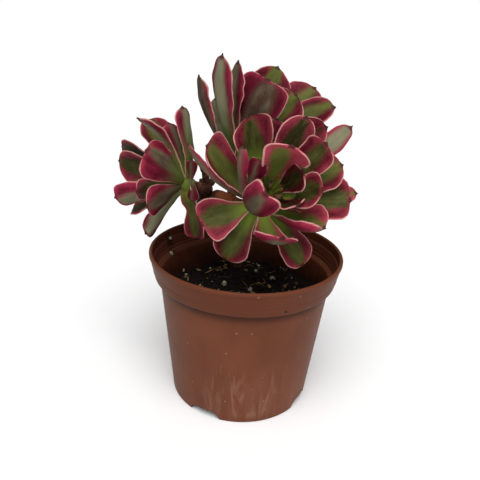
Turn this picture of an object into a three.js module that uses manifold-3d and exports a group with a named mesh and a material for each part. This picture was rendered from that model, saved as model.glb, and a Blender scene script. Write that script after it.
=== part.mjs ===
// Potted aeonium: a branching succulent with three heads of leaves in a plastic nursery pot.
// Units are millimetres, +Z is up, the front is -Y. The sizes below are measured from the middle
// of the pot's foot; the finished part is centred over its origin by its whole outline.

import * as THREE from 'three';
import { mergeVertices } from 'three/addons/utils/BufferGeometryUtils.js';
import Module from 'manifold-3d';

const solidKernel = await Module();
solidKernel.setup();

// Driving dimensions of the pot
const LIP_RADIUS = 60;
const POT_HEIGHT = 97;
const BAND_FOOT_RADIUS = 56.5;
const BAND_FOOT_HEIGHT = 81;
const BODY_TOP_RADIUS = 53.3;
const BASE_RADIUS = 45;
const WALL = 1.4;
const FLOOR_BOTTOM = 5;
const FLOOR_TOP = 6.6;
const POT_SEGMENTS = 40;
const GAP_COUNT = 4;
const GAP_FIRST_ANGLE = -118;
const GAP_WIDTH = 18;
const GAP_HEIGHT = 4;
const DRAIN_RADIUS = 4;
const DRAIN_CENTRE_RADIUS = 33;

// Driving dimensions of the soil and the trunk
const CLEARANCE = 0.35;
const SOIL_LEVEL = 65.5;
const MOUND_HEIGHT = 4;
const MOUND_SPREAD = 9;
const TRUNK_FOOT = [-6, 37];
const TRUNK_RADIUS = 5.2;
const TRUNK_DEPTH = 34;

// Driving dimensions of a leaf
const RIB_THICKNESS = 2.6;
const BLADE_THICKNESS = 1.7;
const EDGE_THICKNESS = 0.9;
const PETIOLE_CHANNEL = 0.5;
const LEAF_ROWS = [0, 0.3, 0.56, 0.76, 0.9, 0.97, 1];
const LEAF_COLUMNS = [-1, -0.55, 0, 0.55, 1];
const PLAIN_ROWS = [0, 0.35, 0.65, 0.88, 1];
const PLAIN_COLUMNS = [-1, 0, 1];
const PLAIN_WIDTH = 17;
const YOUNG_ROWS = [0, 0.4, 0.75, 1];
const YOUNG_COUNT = 7;
const MARGIN_WAVE = 0.06;
const GOLDEN_ANGLE = 137.5;

// Half width of a blade along its length, for a blunt tip and for a pointed tip
const STATIONS = [0, 0.12, 0.25, 0.4, 0.55, 0.68, 0.78, 0.87, 0.94, 0.98, 1];
const BLUNT_OUTLINE = [0.25, 0.27, 0.37, 0.56, 0.79, 0.95, 1, 0.93, 0.72, 0.4, 0.06];
const POINTED_OUTLINE = [0.25, 0.27, 0.37, 0.58, 0.83, 0.99, 0.97, 0.77, 0.46, 0.2, 0.05];

// Heads of leaves: where each core starts, where it points and how thick it is
const HEADS = {
  front: { origin: [5, -6, 129], axis: [0.36, -0.72, 0.6], radius: 6, length: 20 },
  upper: { origin: [-8, 14, 149], axis: [0.38, 0.12, 0.9], radius: 5.5, length: 20 },
  left: { origin: [-38, 12, 133], axis: [-0.95, 0.15, 0.15], radius: 5.5, length: 18 },
};

// Grown leaves. tip: the point of the leaf. rise: how far up the core the leaf starts.
// wide: the widest part. bow: offset of the mid line toward the upper face, near the foot and
// near the tip. sway: sideways offset. cup: how far each margin turns up, left and right.
// face: where the upper face looks, else along the core. turn: extra turn in degrees.
// blunt: 0 for a pointed tip, 1 for a blunt one, more for a squared one, 0.6 when not given.
// slant: how far the right margin runs ahead of the left one. notch: how far both lobes run
// ahead of the tip. base: how much wider than usual the foot is. plain: a leaf at the back.
const FRONT_LEAVES = [
  { tip: [-4, -14, 181], rise: 3, wide: 25, bow: [2, 4], sway: -1, cup: [0.25, 0.45], blunt: 1.3,
    slant: 0.15, base: 1.8 },
  { tip: [-26, -12, 163.5], rise: 2, wide: 26, bow: [2, 4], sway: -5, cup: [0.6, 0.2], blunt: 1.2,
    slant: 0.3 },
  { tip: [-6, -30, 167], foot: [-3, -16, 135], wide: 12, bow: [-5, -5], face: [1, -0.3, 0.3] },
  { tip: [-27, -22, 120], rise: 3, wide: 25, bow: [2, 4], sway: -1, blunt: 1.5, slant: 0.1 },
  { tip: [-13, -24, 100], rise: 3, wide: 23, bow: [2, 4], sway: 2, base: 1.4 },
  { tip: [8, -50, 149], rise: 7, wide: 21, bow: [-12, -13], cup: [0.3, 0.3], face: [0.7, 0.5, 0.6],
    blunt: 1.4, notch: 0.4 },
  { tip: [18, -52, 127], rise: 6, wide: 25, bow: [-6, -18], face: [0.3, -0.4, 0.8], blunt: 1.3 },
  { tip: [33, -22, 97], rise: 2, wide: 23, bow: [2, 5], base: 1.3 },
  { tip: [42, -34, 126], rise: 5, wide: 30, bow: [-2, -3], sway: 4, cup: [0.2, 0.8] },
  { tip: [58, -16, 137], rise: 4, wide: 29, bow: [1, 4], blunt: 1 },
  { tip: [52, -10, 156], rise: 4, wide: 23, bow: [1, 3] },
  { tip: [40, -20, 170], rise: 7, wide: 20, bow: [1, 1], sway: 2, blunt: 1.7 },
  { tip: [20, -42, 171], rise: 12, wide: 24, bow: [-5, -3], cup: [0.5, -0.4], face: [0, -1, 0.1],
    wave: 0.35, blunt: 1.3, slant: -0.15 },
  { tip: [29, -10, 182], rise: 8, wide: 21, bow: [2, 3], sway: -2 },
  { tip: [27, -35, 154], rise: 15, wide: 18, bow: [-2, -2], blunt: 1.2 },
  { tip: [15, -36, 158], rise: 17, wide: 13, bow: [-3, -3], cup: [0.7, 0.7], blunt: 1 },
  { tip: [26, -38, 140], rise: 14, wide: 15, bow: [-3, -3], blunt: 1 },
  { tip: [39, -32, 147], rise: 11, wide: 22, blunt: 1.2 },
  { tip: [6, -34, 162], foot: [6, -24, 142], wide: 18, bow: [-2, -2], cup: [1.2, 0.5],
    face: [0.7, -0.7, 0.3] },
  { tip: [12, -2, 179], rise: 4, wide: 17, sway: 2 },
  { tip: [58, 8, 175], rise: 1, wide: 14, face: [0.2, 1, -0.2], blunt: 0.8 },
  { tip: [65, 2, 136], rise: 1, wide: 14 },
  { tip: [-37.7, 0, 161.5], rise: 0, wide: 8, bow: [-9, -8], face: [0.6, 0.7, 0.4] },
  { tip: [-8, 0, 161], rise: 1, wide: 13, base: 1.8 },
];
const UPPER_LEAVES = [
  { tip: [7, 6, 199], rise: 4, wide: 31, bow: [-6, -10], blunt: 1.2, slant: 0.1, notch: 0.25 },
  { tip: [14, 40, 204], rise: 4, wide: 29, bow: [-2, -2], blunt: 0 },
  { tip: [38, 36, 193], rise: 6, wide: 28, sway: -1, face: [0.3, -0.35, 0.8], slant: 0.05 },
  { tip: [25, 18, 190], rise: 10, wide: 32, face: [-0.3, -0.7, 0.6], blunt: 0.4 },
  { tip: [45, 40, 183], rise: 4, wide: 22 },
  { tip: [49, 29, 181], rise: 5, wide: 31, sway: 3, cup: [0.2, 0.5], blunt: 0.3, slant: -0.3 },
  { tip: [43.5, 6, 174], rise: 3, wide: 22, bow: [-2, -3], face: [0.3, -0.8, 0.5] },
  { tip: [-31, -4, 200], rise: 1, wide: 15, bow: [-6, -8], blunt: 0.3 },
  { tip: [-18, -16, 212], rise: 2, wide: 18, bow: [-6, -9], base: 1.7 },
  { tip: [-10, 4, 208], rise: 4, wide: 17, bow: [-4, -5], blunt: 0.3 },
  { tip: [-23, 10, 187], rise: 0, wide: 13, face: [0, 1, 0], blunt: 0.2, base: 1.5 },
  { tip: [-20, 36, 194], rise: 2, wide: 20, plain: true },
  { tip: [-4, 46, 196], rise: 3, wide: 22, plain: true },
  { tip: [22, 54, 182], rise: 1, wide: 22, plain: true },
  { tip: [2, 28, 200], rise: 8, wide: 20, bow: [-2, -2], plain: true },
  { tip: [14, 16, 196], rise: 9, wide: 18, bow: [-3, -3], plain: true },
  { tip: [-2, 16, 192], rise: 12, wide: 14, bow: [-2, -2] },
  { tip: [18, 26, 190], rise: 14, wide: 14, bow: [-2, -2] },
];
const LEFT_LEAVES = [
  { tip: [-60, -12, 159], rise: 3, wide: 25, bow: [-4, -6], sway: 2, blunt: 1.3, slant: 0.1 },
  { tip: [-66, -2, 175], rise: 3, wide: 18, bow: [5, 6], face: [0.6, 0.5, 0.6] },
  { tip: [-66, 24, 170], rise: 4, wide: 26, face: [0.7, -0.6, 0.4] },
  { tip: [-51, 16, 170], rise: 2, wide: 18, bow: [-3, -5], face: [-0.6, 0.5, -0.2] },
  { tip: [-42, 10, 181], rise: 0, wide: 15, bow: [-4, -3], turn: -20, base: 1.5 },
  { tip: [-85, 30, 151], rise: 7, wide: 23, turn: 15, blunt: 1.4 },
  { tip: [-84, 24, 143], rise: 9, wide: 24, turn: 15 },
  { tip: [-83, 6, 124], rise: 7, wide: 18, face: [0.2, 0.9, 0.3], blunt: 1.2 },
  { tip: [-68, -2, 131], rise: 8, wide: 15, face: [0, 0.9, 0.2], blunt: 1 },
  { tip: [-60, -12, 125], rise: 4, wide: 21, bow: [-3, -5], sway: -3, face: [-0.5, 0.8, 0.2] },
  { tip: [-77, 26, 109], rise: 5, wide: 20, face: [0, -0.4, 0.8] },
  { tip: [-63, -2, 104], rise: 2, wide: 12, bow: [3, 3], face: [-0.5, 0.8, 0], blunt: 1.5,
    slant: 0.3 },
  { tip: [-31, 6, 99], rise: 0, wide: 16, bow: [-1, -1], face: [-0.6, -0.7, 0.3], blunt: 1.6,
    base: 2.8 },
  { tip: [-35, 4, 151], foot: [-36, 6, 135], wide: 10, face: [0.4, 0.9, 0] },
  { tip: [-37, 4, 126], foot: [-35, 6, 137], wide: 9, face: [0.4, 0.9, 0] },
  { tip: [-60, 42, 152], rise: 3, wide: 20, plain: true },
  { tip: [-62, 44, 128], rise: 4, wide: 20, plain: true },
  { tip: [-68, 14, 146], rise: 10, wide: 18, bow: [-2, -2], plain: true },
  { tip: [-74, 22, 132], rise: 11, wide: 18, bow: [-2, -2], plain: true },
];

const toVector = (list) => new THREE.Vector3(...list);

function lookUp(values, position) {
  for (let i = 1; i < STATIONS.length; i += 1) {
    if (position <= STATIONS[i]) {
      const share = (position - STATIONS[i - 1]) / (STATIONS[i] - STATIONS[i - 1]);
      return values[i - 1] + (values[i] - values[i - 1]) * share;
    }
  }
  return values[values.length - 1];
}

// Closed skin over a row of rings that all have the same number of points
function skinRings(rings) {
  const count = rings[0].length;
  const points = rings.flat();
  const triangles = [];
  for (let r = 0; r + 1 < rings.length; r += 1) {
    for (let k = 0; k < count; k += 1) {
      const next = (k + 1) % count;
      const a = r * count + k;
      const b = r * count + next;
      triangles.push(a, b, b + count, a, b + count, a + count);
    }
  }
  for (const [ring, flip] of [[0, true], [rings.length - 1, false]]) {
    const centre = new THREE.Vector3();
    rings[ring].forEach((point) => centre.addScaledVector(point, 1 / count));
    points.push(centre);
    for (let k = 0; k < count; k += 1) {
      const a = ring * count + k;
      const b = ring * count + (k + 1) % count;
      triangles.push(...(flip ? [points.length - 1, b, a] : [points.length - 1, a, b]));
    }
  }
  return outwardSolid(points, triangles);
}

function outwardSolid(points, triangles) {
  let volume = 0;
  for (let t = 0; t < triangles.length; t += 3) {
    const [a, b, c] = [0, 1, 2].map((k) => points[triangles[t + k]]);
    volume += a.dot(b.clone().cross(c));
  }
  const order = volume > 0 ? triangles : triangles.slice().reverse();
  return new solidKernel.Manifold(new solidKernel.Mesh({
    numProp: 3,
    vertProperties: new Float32Array(points.flatMap((point) => point.toArray())),
    triVerts: new Uint32Array(order),
  }));
}

function solidFrom(geometry) {
  const bare = geometry.clone();
  bare.deleteAttribute('normal');
  bare.deleteAttribute('uv');
  const merged = mergeVertices(bare, 1e-4);
  return new solidKernel.Manifold(new solidKernel.Mesh({
    numProp: 3,
    vertProperties: new Float32Array(merged.attributes.position.array),
    triVerts: new Uint32Array(merged.index.array),
  }));
}

// Largest closed shell of a fused body: hollows shut in among the leaves are filled
function fillHollows(solid) {
  const shape = solid.getMesh();
  const count = shape.vertProperties.length / 3;
  const points = [];
  for (let i = 0; i < count; i += 1) {
    points.push(new THREE.Vector3().fromArray(shape.vertProperties, i * 3));
  }
  const owner = points.map((_, i) => i);
  const rootOf = (i) => {
    let root = i;
    while (owner[root] !== root) {
      owner[root] = owner[owner[root]];
      root = owner[root];
    }
    return root;
  };
  for (let t = 0; t < shape.triVerts.length; t += 3) {
    owner[rootOf(shape.triVerts[t + 1])] = rootOf(shape.triVerts[t]);
    owner[rootOf(shape.triVerts[t + 2])] = rootOf(shape.triVerts[t]);
  }
  const shells = new Map();
  for (let t = 0; t < shape.triVerts.length; t += 3) {
    const corners = [0, 1, 2].map((k) => shape.triVerts[t + k]);
    const root = rootOf(corners[0]);
    const shell = shells.get(root) ?? { volume: 0, triangles: [] };
    const [a, b, c] = corners.map((corner) => points[corner]);
    shell.volume += a.dot(b.clone().cross(c)) / 6;
    shell.triangles.push(...corners);
    shells.set(root, shell);
  }
  const sorted = [...shells.values()].sort((a, b) => b.volume - a.volume);
  const keep = new Map();
  const used = [];
  const triangles = sorted[0].triangles.map((corner) => {
    if (!keep.has(corner)) {
      keep.set(corner, used.length);
      used.push(points[corner]);
    }
    return keep.get(corner);
  });
  return outwardSolid(used, triangles);
}

function meshFrom(solid, name, colour, roughness) {
  const shape = solid.getMesh();
  const geometry = new THREE.BufferGeometry();
  geometry.setAttribute('position', new THREE.BufferAttribute(shape.vertProperties.slice(), 3));
  geometry.setIndex(new THREE.BufferAttribute(shape.triVerts.slice(), 1));
  geometry.computeVertexNormals();
  const material = new THREE.MeshStandardMaterial({ color: colour, roughness, metalness: 0 });
  const mesh = new THREE.Mesh(geometry, material);
  mesh.name = name;
  return mesh;
}

// One fleshy leaf: a narrow channelled foot that widens into a cupped blade
function leafSolid(foot, leaf, axis, rows, columns) {
  const tip = toVector(leaf.tip);
  const span = tip.clone().sub(foot);
  const along = span.clone().normalize();
  const facing = toVector(leaf.face ?? axis.toArray());
  let upward = facing.addScaledVector(along, -facing.dot(along)).normalize();
  let sideways = along.clone().cross(upward);
  const turn = THREE.MathUtils.degToRad(leaf.turn ?? 0);
  [upward, sideways] = [
    upward.clone().multiplyScalar(Math.cos(turn)).addScaledVector(sideways, Math.sin(turn)),
    sideways.clone().multiplyScalar(Math.cos(turn)).addScaledVector(upward, -Math.sin(turn)),
  ];
  const [bowFoot, bowTip] = leaf.bow ?? [0, 0];
  const lean = sideways.clone().multiplyScalar(leaf.sway ?? 0);
  const second = foot.clone().addScaledVector(span, 0.33).addScaledVector(upward, bowFoot).add(lean);
  const third = foot.clone().addScaledVector(span, 0.68).addScaledVector(upward, bowTip).add(lean);
  const midLine = new THREE.CubicBezierCurve3(foot, second, third, tip);
  const [cupLeft, cupRight] = leaf.cup ?? [0.25, 0.25];
  const blunt = leaf.blunt ?? 0.6;
  const rings = rows.map((v) => {
    const middle = midLine.getPoint(v);
    const normal = sideways.clone().cross(midLine.getTangent(v)).normalize();
    const outline = lookUp(BLUNT_OUTLINE, v) * blunt + lookUp(POINTED_OUTLINE, v) * (1 - blunt);
    const broad = ((leaf.base ?? 1) - 1) * (1 - THREE.MathUtils.smoothstep(v, 0.1, 0.5));
    const half = (leaf.wide / 2) * outline * (1 + broad);
    const ahead = midLine.getTangent(v).multiplyScalar(THREE.MathUtils.smoothstep(v, 0.4, 0.95));
    const spread = THREE.MathUtils.smoothstep(v, 0, 0.45);
    const rib = THREE.MathUtils.lerp(RIB_THICKNESS, BLADE_THICKNESS, spread);
    const upper = [];
    const lower = [];
    for (const u of columns) {
      const side = Math.sign(u);
      const cup = THREE.MathUtils.lerp(PETIOLE_CHANNEL, u < 0 ? cupLeft : cupRight, spread);
      const bend = 2 * cup;
      const tilt = bend * Math.abs(u);
      const flat = Math.abs(bend) < 1e-3;
      const across = flat ? half * Math.abs(u) : (half * Math.sin(tilt)) / bend;
      let lift = flat ? 0 : (half * (1 - Math.cos(tilt))) / bend;
      const phase = 6.9 * v + 0.37 * (tip.x + tip.z) + (u < 0 ? 2.1 : 0);
      lift += (leaf.wave ?? MARGIN_WAVE) * half * u * u * Math.sin(phase) * Math.min(1, v * 2.5);
      const centre = middle.clone().addScaledVector(sideways, across * side);
      centre.addScaledVector(normal, lift);
      centre.addScaledVector(ahead, half * ((leaf.slant ?? 0) * u + (leaf.notch ?? 0) * u * u));
      const skin = normal.clone().multiplyScalar(Math.cos(tilt));
      skin.addScaledVector(sideways, -side * Math.sin(tilt));
      const thickness = THREE.MathUtils.lerp(rib, EDGE_THICKNESS, u * u);
      upper.push(centre.clone().addScaledVector(skin, thickness / 2));
      lower.push(centre.clone().addScaledVector(skin, -thickness / 2));
    }
    return upper.concat(lower.reverse());
  });
  return skinRings(rings);
}

function tubeSolid(points, radii, sides) {
  const rings = [];
  let side = new THREE.Vector3(1, 0, 0);
  points.forEach((point, i) => {
    const before = points[Math.max(0, i - 1)];
    const after = points[Math.min(points.length - 1, i + 1)];
    const along = after.clone().sub(before).normalize();
    side = side.addScaledVector(along, -side.dot(along)).normalize().clone();
    const other = along.clone().cross(side);
    const ring = [];
    for (let k = 0; k < sides; k += 1) {
      const angle = (k / sides) * Math.PI * 2;
      const rim = side.clone().multiplyScalar(Math.cos(angle)).addScaledVector(other, Math.sin(angle));
      ring.push(point.clone().addScaledVector(rim, radii[i]));
    }
    rings.push(ring);
  });
  return skinRings(rings);
}

// Small leaves still folded round the growing point, each one golden angle on from the last
function youngLeaves(head, axis, count) {
  const across = new THREE.Vector3(0, 0, 1).cross(axis).normalize();
  const other = axis.clone().cross(across);
  const leaves = [];
  for (let k = 0; k < count; k += 1) {
    const angle = THREE.MathUtils.degToRad(k * GOLDEN_ANGLE);
    const open = THREE.MathUtils.degToRad(14 + 5.5 * k);
    const length = 7 + 1.1 * k;
    const radial = across.clone().multiplyScalar(Math.cos(angle)).addScaledVector(other, Math.sin(angle));
    const foot = toVector(head.origin).addScaledVector(axis, head.length - 1.5 - 0.7 * k);
    foot.addScaledVector(radial, 1);
    const tip = foot.clone().addScaledVector(axis, length * Math.cos(open));
    tip.addScaledVector(radial, length * Math.sin(open));
    leaves.push([foot, { tip: tip.toArray(), wide: 6 + 0.7 * k, bow: [-1, -1.5], cup: [0.6, 0.6] }]);
  }
  return leaves;
}

function headSolid(head, leaves) {
  const origin = toVector(head.origin);
  const axis = toVector(head.axis).normalize();
  const corePoints = [-5, 0, head.length * 0.6, head.length].map(
    (distance) => origin.clone().addScaledVector(axis, distance),
  );
  let body = tubeSolid(corePoints, [3.4, head.radius, head.radius * 0.75, 1.6], 10);
  for (const leaf of leaves) {
    const start = origin.clone().addScaledVector(axis, leaf.rise ?? 0);
    const radial = toVector(leaf.tip).sub(start);
    radial.addScaledVector(axis, -radial.dot(axis)).normalize();
    const foot = leaf.foot ? toVector(leaf.foot) : start.addScaledVector(radial, head.radius * 0.55);
    const plain = leaf.plain || leaf.wide < PLAIN_WIDTH;
    const rows = plain ? PLAIN_ROWS : LEAF_ROWS;
    body = body.add(leafSolid(foot, leaf, axis, rows, plain ? PLAIN_COLUMNS : LEAF_COLUMNS));
  }
  for (const [foot, leaf] of youngLeaves(head, axis, YOUNG_COUNT)) {
    body = body.add(leafSolid(foot, leaf, axis, YOUNG_ROWS, PLAIN_COLUMNS));
  }
  return fillHollows(body);
}

// Pot wall in section, from the foot up the outside, over the lip and down the inside
const slope = (BODY_TOP_RADIUS - BASE_RADIUS) / (BAND_FOOT_HEIGHT - 2);
const innerRadius = (height) => BASE_RADIUS + slope * height - WALL;
const potSection = [
  [BASE_RADIUS - 2.2, 0],
  [BASE_RADIUS - 0.5, 0],
  [BASE_RADIUS, 0.8],
  [BODY_TOP_RADIUS, BAND_FOOT_HEIGHT - 2],
  [BODY_TOP_RADIUS + 0.6, BAND_FOOT_HEIGHT - 0.8],
  [BAND_FOOT_RADIUS - 0.6, BAND_FOOT_HEIGHT - 0.3],
  [BAND_FOOT_RADIUS, BAND_FOOT_HEIGHT + 0.6],
  [LIP_RADIUS - 0.5, POT_HEIGHT - 3],
  [LIP_RADIUS, POT_HEIGHT - 1.8],
  [LIP_RADIUS - 0.2, POT_HEIGHT - 0.5],
  [LIP_RADIUS - 1, POT_HEIGHT],
  [LIP_RADIUS - 2, POT_HEIGHT - 0.6],
  [LIP_RADIUS - 2.4, POT_HEIGHT - 6],
  [LIP_RADIUS - 3, POT_HEIGHT - 6.4],
  [BAND_FOOT_RADIUS - WALL + 0.2, BAND_FOOT_HEIGHT + 2],
  [innerRadius(BAND_FOOT_HEIGHT - 1) + 0.4, BAND_FOOT_HEIGHT + 0.6],
  [innerRadius(BAND_FOOT_HEIGHT - 4), BAND_FOOT_HEIGHT - 4],
  [innerRadius(FLOOR_TOP + 2), FLOOR_TOP + 2],
  [innerRadius(FLOOR_TOP) - 2, FLOOR_TOP],
  [0, FLOOR_TOP],
];
const floorUnderside = [
  [0, FLOOR_BOTTOM],
  [BASE_RADIUS - 3.4, FLOOR_BOTTOM],
  [BASE_RADIUS - 2.4, FLOOR_BOTTOM - 1],
];
const potProfile = [...floorUnderside, ...potSection].map(([r, z]) => new THREE.Vector2(r, z));
const potLathe = new THREE.LatheGeometry(potProfile, POT_SEGMENTS);
potLathe.rotateX(Math.PI / 2);
let pot = solidFrom(potLathe);

function gapCutter(angle) {
  const outline = new THREE.Shape();
  outline.moveTo(-GAP_WIDTH / 2, -1);
  outline.lineTo(GAP_WIDTH / 2, -1);
  outline.lineTo(GAP_WIDTH / 2 - 0.4, GAP_HEIGHT - 2.2);
  outline.lineTo(GAP_WIDTH / 2 - 2.6, GAP_HEIGHT);
  outline.lineTo(2.6 - GAP_WIDTH / 2, GAP_HEIGHT);
  outline.lineTo(0.4 - GAP_WIDTH / 2, GAP_HEIGHT - 2.2);
  outline.closePath();
  const cutter = new THREE.ExtrudeGeometry(outline, { depth: 12, bevelEnabled: false });
  cutter.rotateX(Math.PI / 2);
  cutter.translate(0, BASE_RADIUS + 4, 0);
  cutter.rotateZ(THREE.MathUtils.degToRad(angle - 90));
  return solidFrom(cutter);
}

function drainCutter(angle) {
  const cutter = new THREE.CylinderGeometry(DRAIN_RADIUS, DRAIN_RADIUS, 8, 16);
  cutter.rotateX(Math.PI / 2);
  cutter.translate(DRAIN_CENTRE_RADIUS, 0, (FLOOR_BOTTOM + FLOOR_TOP) / 2);
  cutter.rotateZ(THREE.MathUtils.degToRad(angle));
  return solidFrom(cutter);
}

for (let k = 0; k < GAP_COUNT; k += 1) {
  const angle = GAP_FIRST_ANGLE + (360 / GAP_COUNT) * k;
  pot = pot.subtract(gapCutter(angle)).subtract(drainCutter(angle));
}

// Soil: a disc of crumbly mix with a low mound where the trunk stands
function soilHeight(x, y) {
  const [footX, footY] = TRUNK_FOOT;
  const away = Math.hypot(x - footX, y - footY) / MOUND_SPREAD;
  const mound = MOUND_HEIGHT * Math.exp(-away * away * 0.5);
  const ripple = 0.9 * Math.sin(0.23 * x + 1.1) * Math.cos(0.19 * y - 0.4);
  const crumbs = 0.5 * Math.sin(0.38 * x - 0.22 * y) + 0.4 * Math.sin(0.31 * y + 0.27 * x + 2);
  return SOIL_LEVEL + mound + ripple + crumbs;
}

function soilSolid() {
  const bottom = FLOOR_TOP + CLEARANCE;
  const ringCount = 8;
  const sectors = 32;
  const edgeRadius = innerRadius(SOIL_LEVEL - 3) - CLEARANCE;
  const points = [];
  const triangles = [];
  const ringStart = (ring) => 1 + ring * sectors;
  points.push(new THREE.Vector3(0, 0, soilHeight(0, 0)));
  for (let ring = 0; ring < ringCount; ring += 1) {
    const radius = (edgeRadius * (ring + 1)) / ringCount;
    for (let k = 0; k < sectors; k += 1) {
      const angle = ((k + 0.5 * (ring % 2)) / sectors) * Math.PI * 2;
      const x = radius * Math.cos(angle);
      const y = radius * Math.sin(angle);
      const z = ring === ringCount - 1 ? Math.min(soilHeight(x, y), SOIL_LEVEL + 1) : soilHeight(x, y);
      points.push(new THREE.Vector3(x, y, z));
    }
  }
  for (const [radius, height] of [[innerRadius(FLOOR_TOP + 3) - CLEARANCE, bottom + 3],
    [innerRadius(FLOOR_TOP) - 3, bottom]]) {
    for (let k = 0; k < sectors; k += 1) {
      const angle = ((k + 0.5 * ((ringCount - 1) % 2)) / sectors) * Math.PI * 2;
      points.push(new THREE.Vector3(radius * Math.cos(angle), radius * Math.sin(angle), height));
    }
  }
  points.push(new THREE.Vector3(0, 0, bottom));
  const last = points.length - 1;
  for (let k = 0; k < sectors; k += 1) {
    const next = (k + 1) % sectors;
    triangles.push(0, ringStart(0) + k, ringStart(0) + next);
    triangles.push(last, ringStart(ringCount + 1) + next, ringStart(ringCount + 1) + k);
    for (let ring = 0; ring < ringCount + 1; ring += 1) {
      const shifted = ring < ringCount - 1 && ring % 2 === 1;
      const a = ringStart(ring) + k;
      const b = ringStart(ring) + next;
      const c = ringStart(ring + 1) + k;
      const d = ringStart(ring + 1) + next;
      if (shifted) {
        triangles.push(a, d, b, a, c, d);
      } else {
        triangles.push(a, c, b, b, c, d);
      }
    }
  }
  return outwardSolid(points, triangles);
}

// Pale grains that lie half sunk in the soil: centre x, y and radius
const GRAINS = [
  [-40, 25, 1.6], [-36, 14, 1.5], [-10, 12, 1.8], [5, 6, 1.7], [8, 30, 1.5], [19, 18, 1.9],
  [14, 19, 1.3], [-24, 33, 1.2], [30, 5, 1.4], [-18, -12, 1.8], [6, -26, 1.5], [24, -20, 1.7],
  [-34, -14, 1.4], [-4, -41, 1.6],
];

function grainSolid([x, y, radius]) {
  const grain = new THREE.IcosahedronGeometry(radius, 0);
  grain.translate(x, y, soilHeight(x, y));
  return solidFrom(grain);
}

let soil = soilSolid();
for (const grain of GRAINS) {
  soil = soil.add(grainSolid(grain));
}
const trunkHole = new THREE.CylinderGeometry(
  TRUNK_RADIUS + CLEARANCE, TRUNK_RADIUS + CLEARANCE, TRUNK_DEPTH + 30, 14,
);
trunkHole.rotateX(Math.PI / 2);
const holeFloor = SOIL_LEVEL - TRUNK_DEPTH;
trunkHole.translate(TRUNK_FOOT[0], TRUNK_FOOT[1], holeFloor + (TRUNK_DEPTH + 30) / 2);
soil = soil.subtract(solidFrom(trunkHole));

// Woody stems: a trunk that forks, and branches that end just under the cores
function branchEnd(head, run) {
  const axis = toVector(head.axis).normalize();
  const end = toVector(head.origin).addScaledVector(axis, -5 - CLEARANCE);
  return [end.clone().addScaledVector(axis, -run).toArray(), end.toArray()];
}

const [footX, footY] = TRUNK_FOOT;
const fork = [-27.3, 20, 116];
const limbs = [
  // the trunk
  [[[footX, footY, holeFloor + CLEARANCE], [footX, footY, 74], [-14, 33, 88], [-23, 26, 103], fork],
    [4.6, TRUNK_RADIUS, 5, 4.8, 4.4], 12],
  // the branch of the front head
  [[fork, [-20.9, 16, 125.9], [-11.7, 8, 126.2], ...branchEnd(HEADS.front, 7)],
    [4, 3.3, 3.2, 4.2, 3.2], 10],
  // the branch of the upper head
  [[[-11.3, 8, 126], [-10, 10.5, 136], ...branchEnd(HEADS.upper, 7)], [2.6, 3.4, 4, 4], 10],
  // the knot over the fork and the branch of the left head
  [[fork, [-29.4, 19, 128.1], [-28.6, 18.5, 134.5]], [5.4, 5.2, 3.4], 10],
  [[[-25.5, 15.5, 129.8], ...branchEnd(HEADS.left, 4)], [3.4, 3.2, 2.5], 10],
  // the stub of an old branch and a dry twig
  [[[-27.5, 18, 131], [-25, 17, 134.1], [-22.3, 16, 133.3]], [3, 2.4, 1.6], 8],
  [[[-26.8, 17, 133.5], [-29.3, 14, 143], [-33.2, 10.5, 150]], [2.6, 1.7, 1.1], 8],
];
let stems = null;
for (const [points, radii, sides] of limbs) {
  const limb = tubeSolid(points.map(toVector), radii, sides);
  stems = stems ? stems.add(limb) : limb;
}

const plant = new THREE.Group();
plant.name = 'potted_aeonium';
plant.add(meshFrom(pot, 'pot', 0x8a4a30, 0.55));
plant.add(meshFrom(soil, 'soil', 0x1c1512, 0.95));
plant.add(meshFrom(stems, 'stems', 0x4a2c1c, 0.85));
plant.add(meshFrom(headSolid(HEADS.front, FRONT_LEAVES), 'rosette_front', 0x7a3a48, 0.5));
plant.add(meshFrom(headSolid(HEADS.upper, UPPER_LEAVES), 'rosette_upper', 0x7c4048, 0.5));
plant.add(meshFrom(headSolid(HEADS.left, LEFT_LEAVES), 'rosette_left', 0x7a4448, 0.5));

// The widest reach to the left and to the right is not the same, so the part is moved sideways
const outline = new THREE.Box3().setFromObject(plant);
const middleOfOutline = outline.getCenter(new THREE.Vector3());
for (const piece of plant.children) {
  piece.geometry.translate(-middleOfOutline.x, -middleOfOutline.y, 0);
}

export default plant;
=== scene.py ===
import math
import random

import bmesh
import bpy
from mathutils import Matrix, Vector, noise


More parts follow.
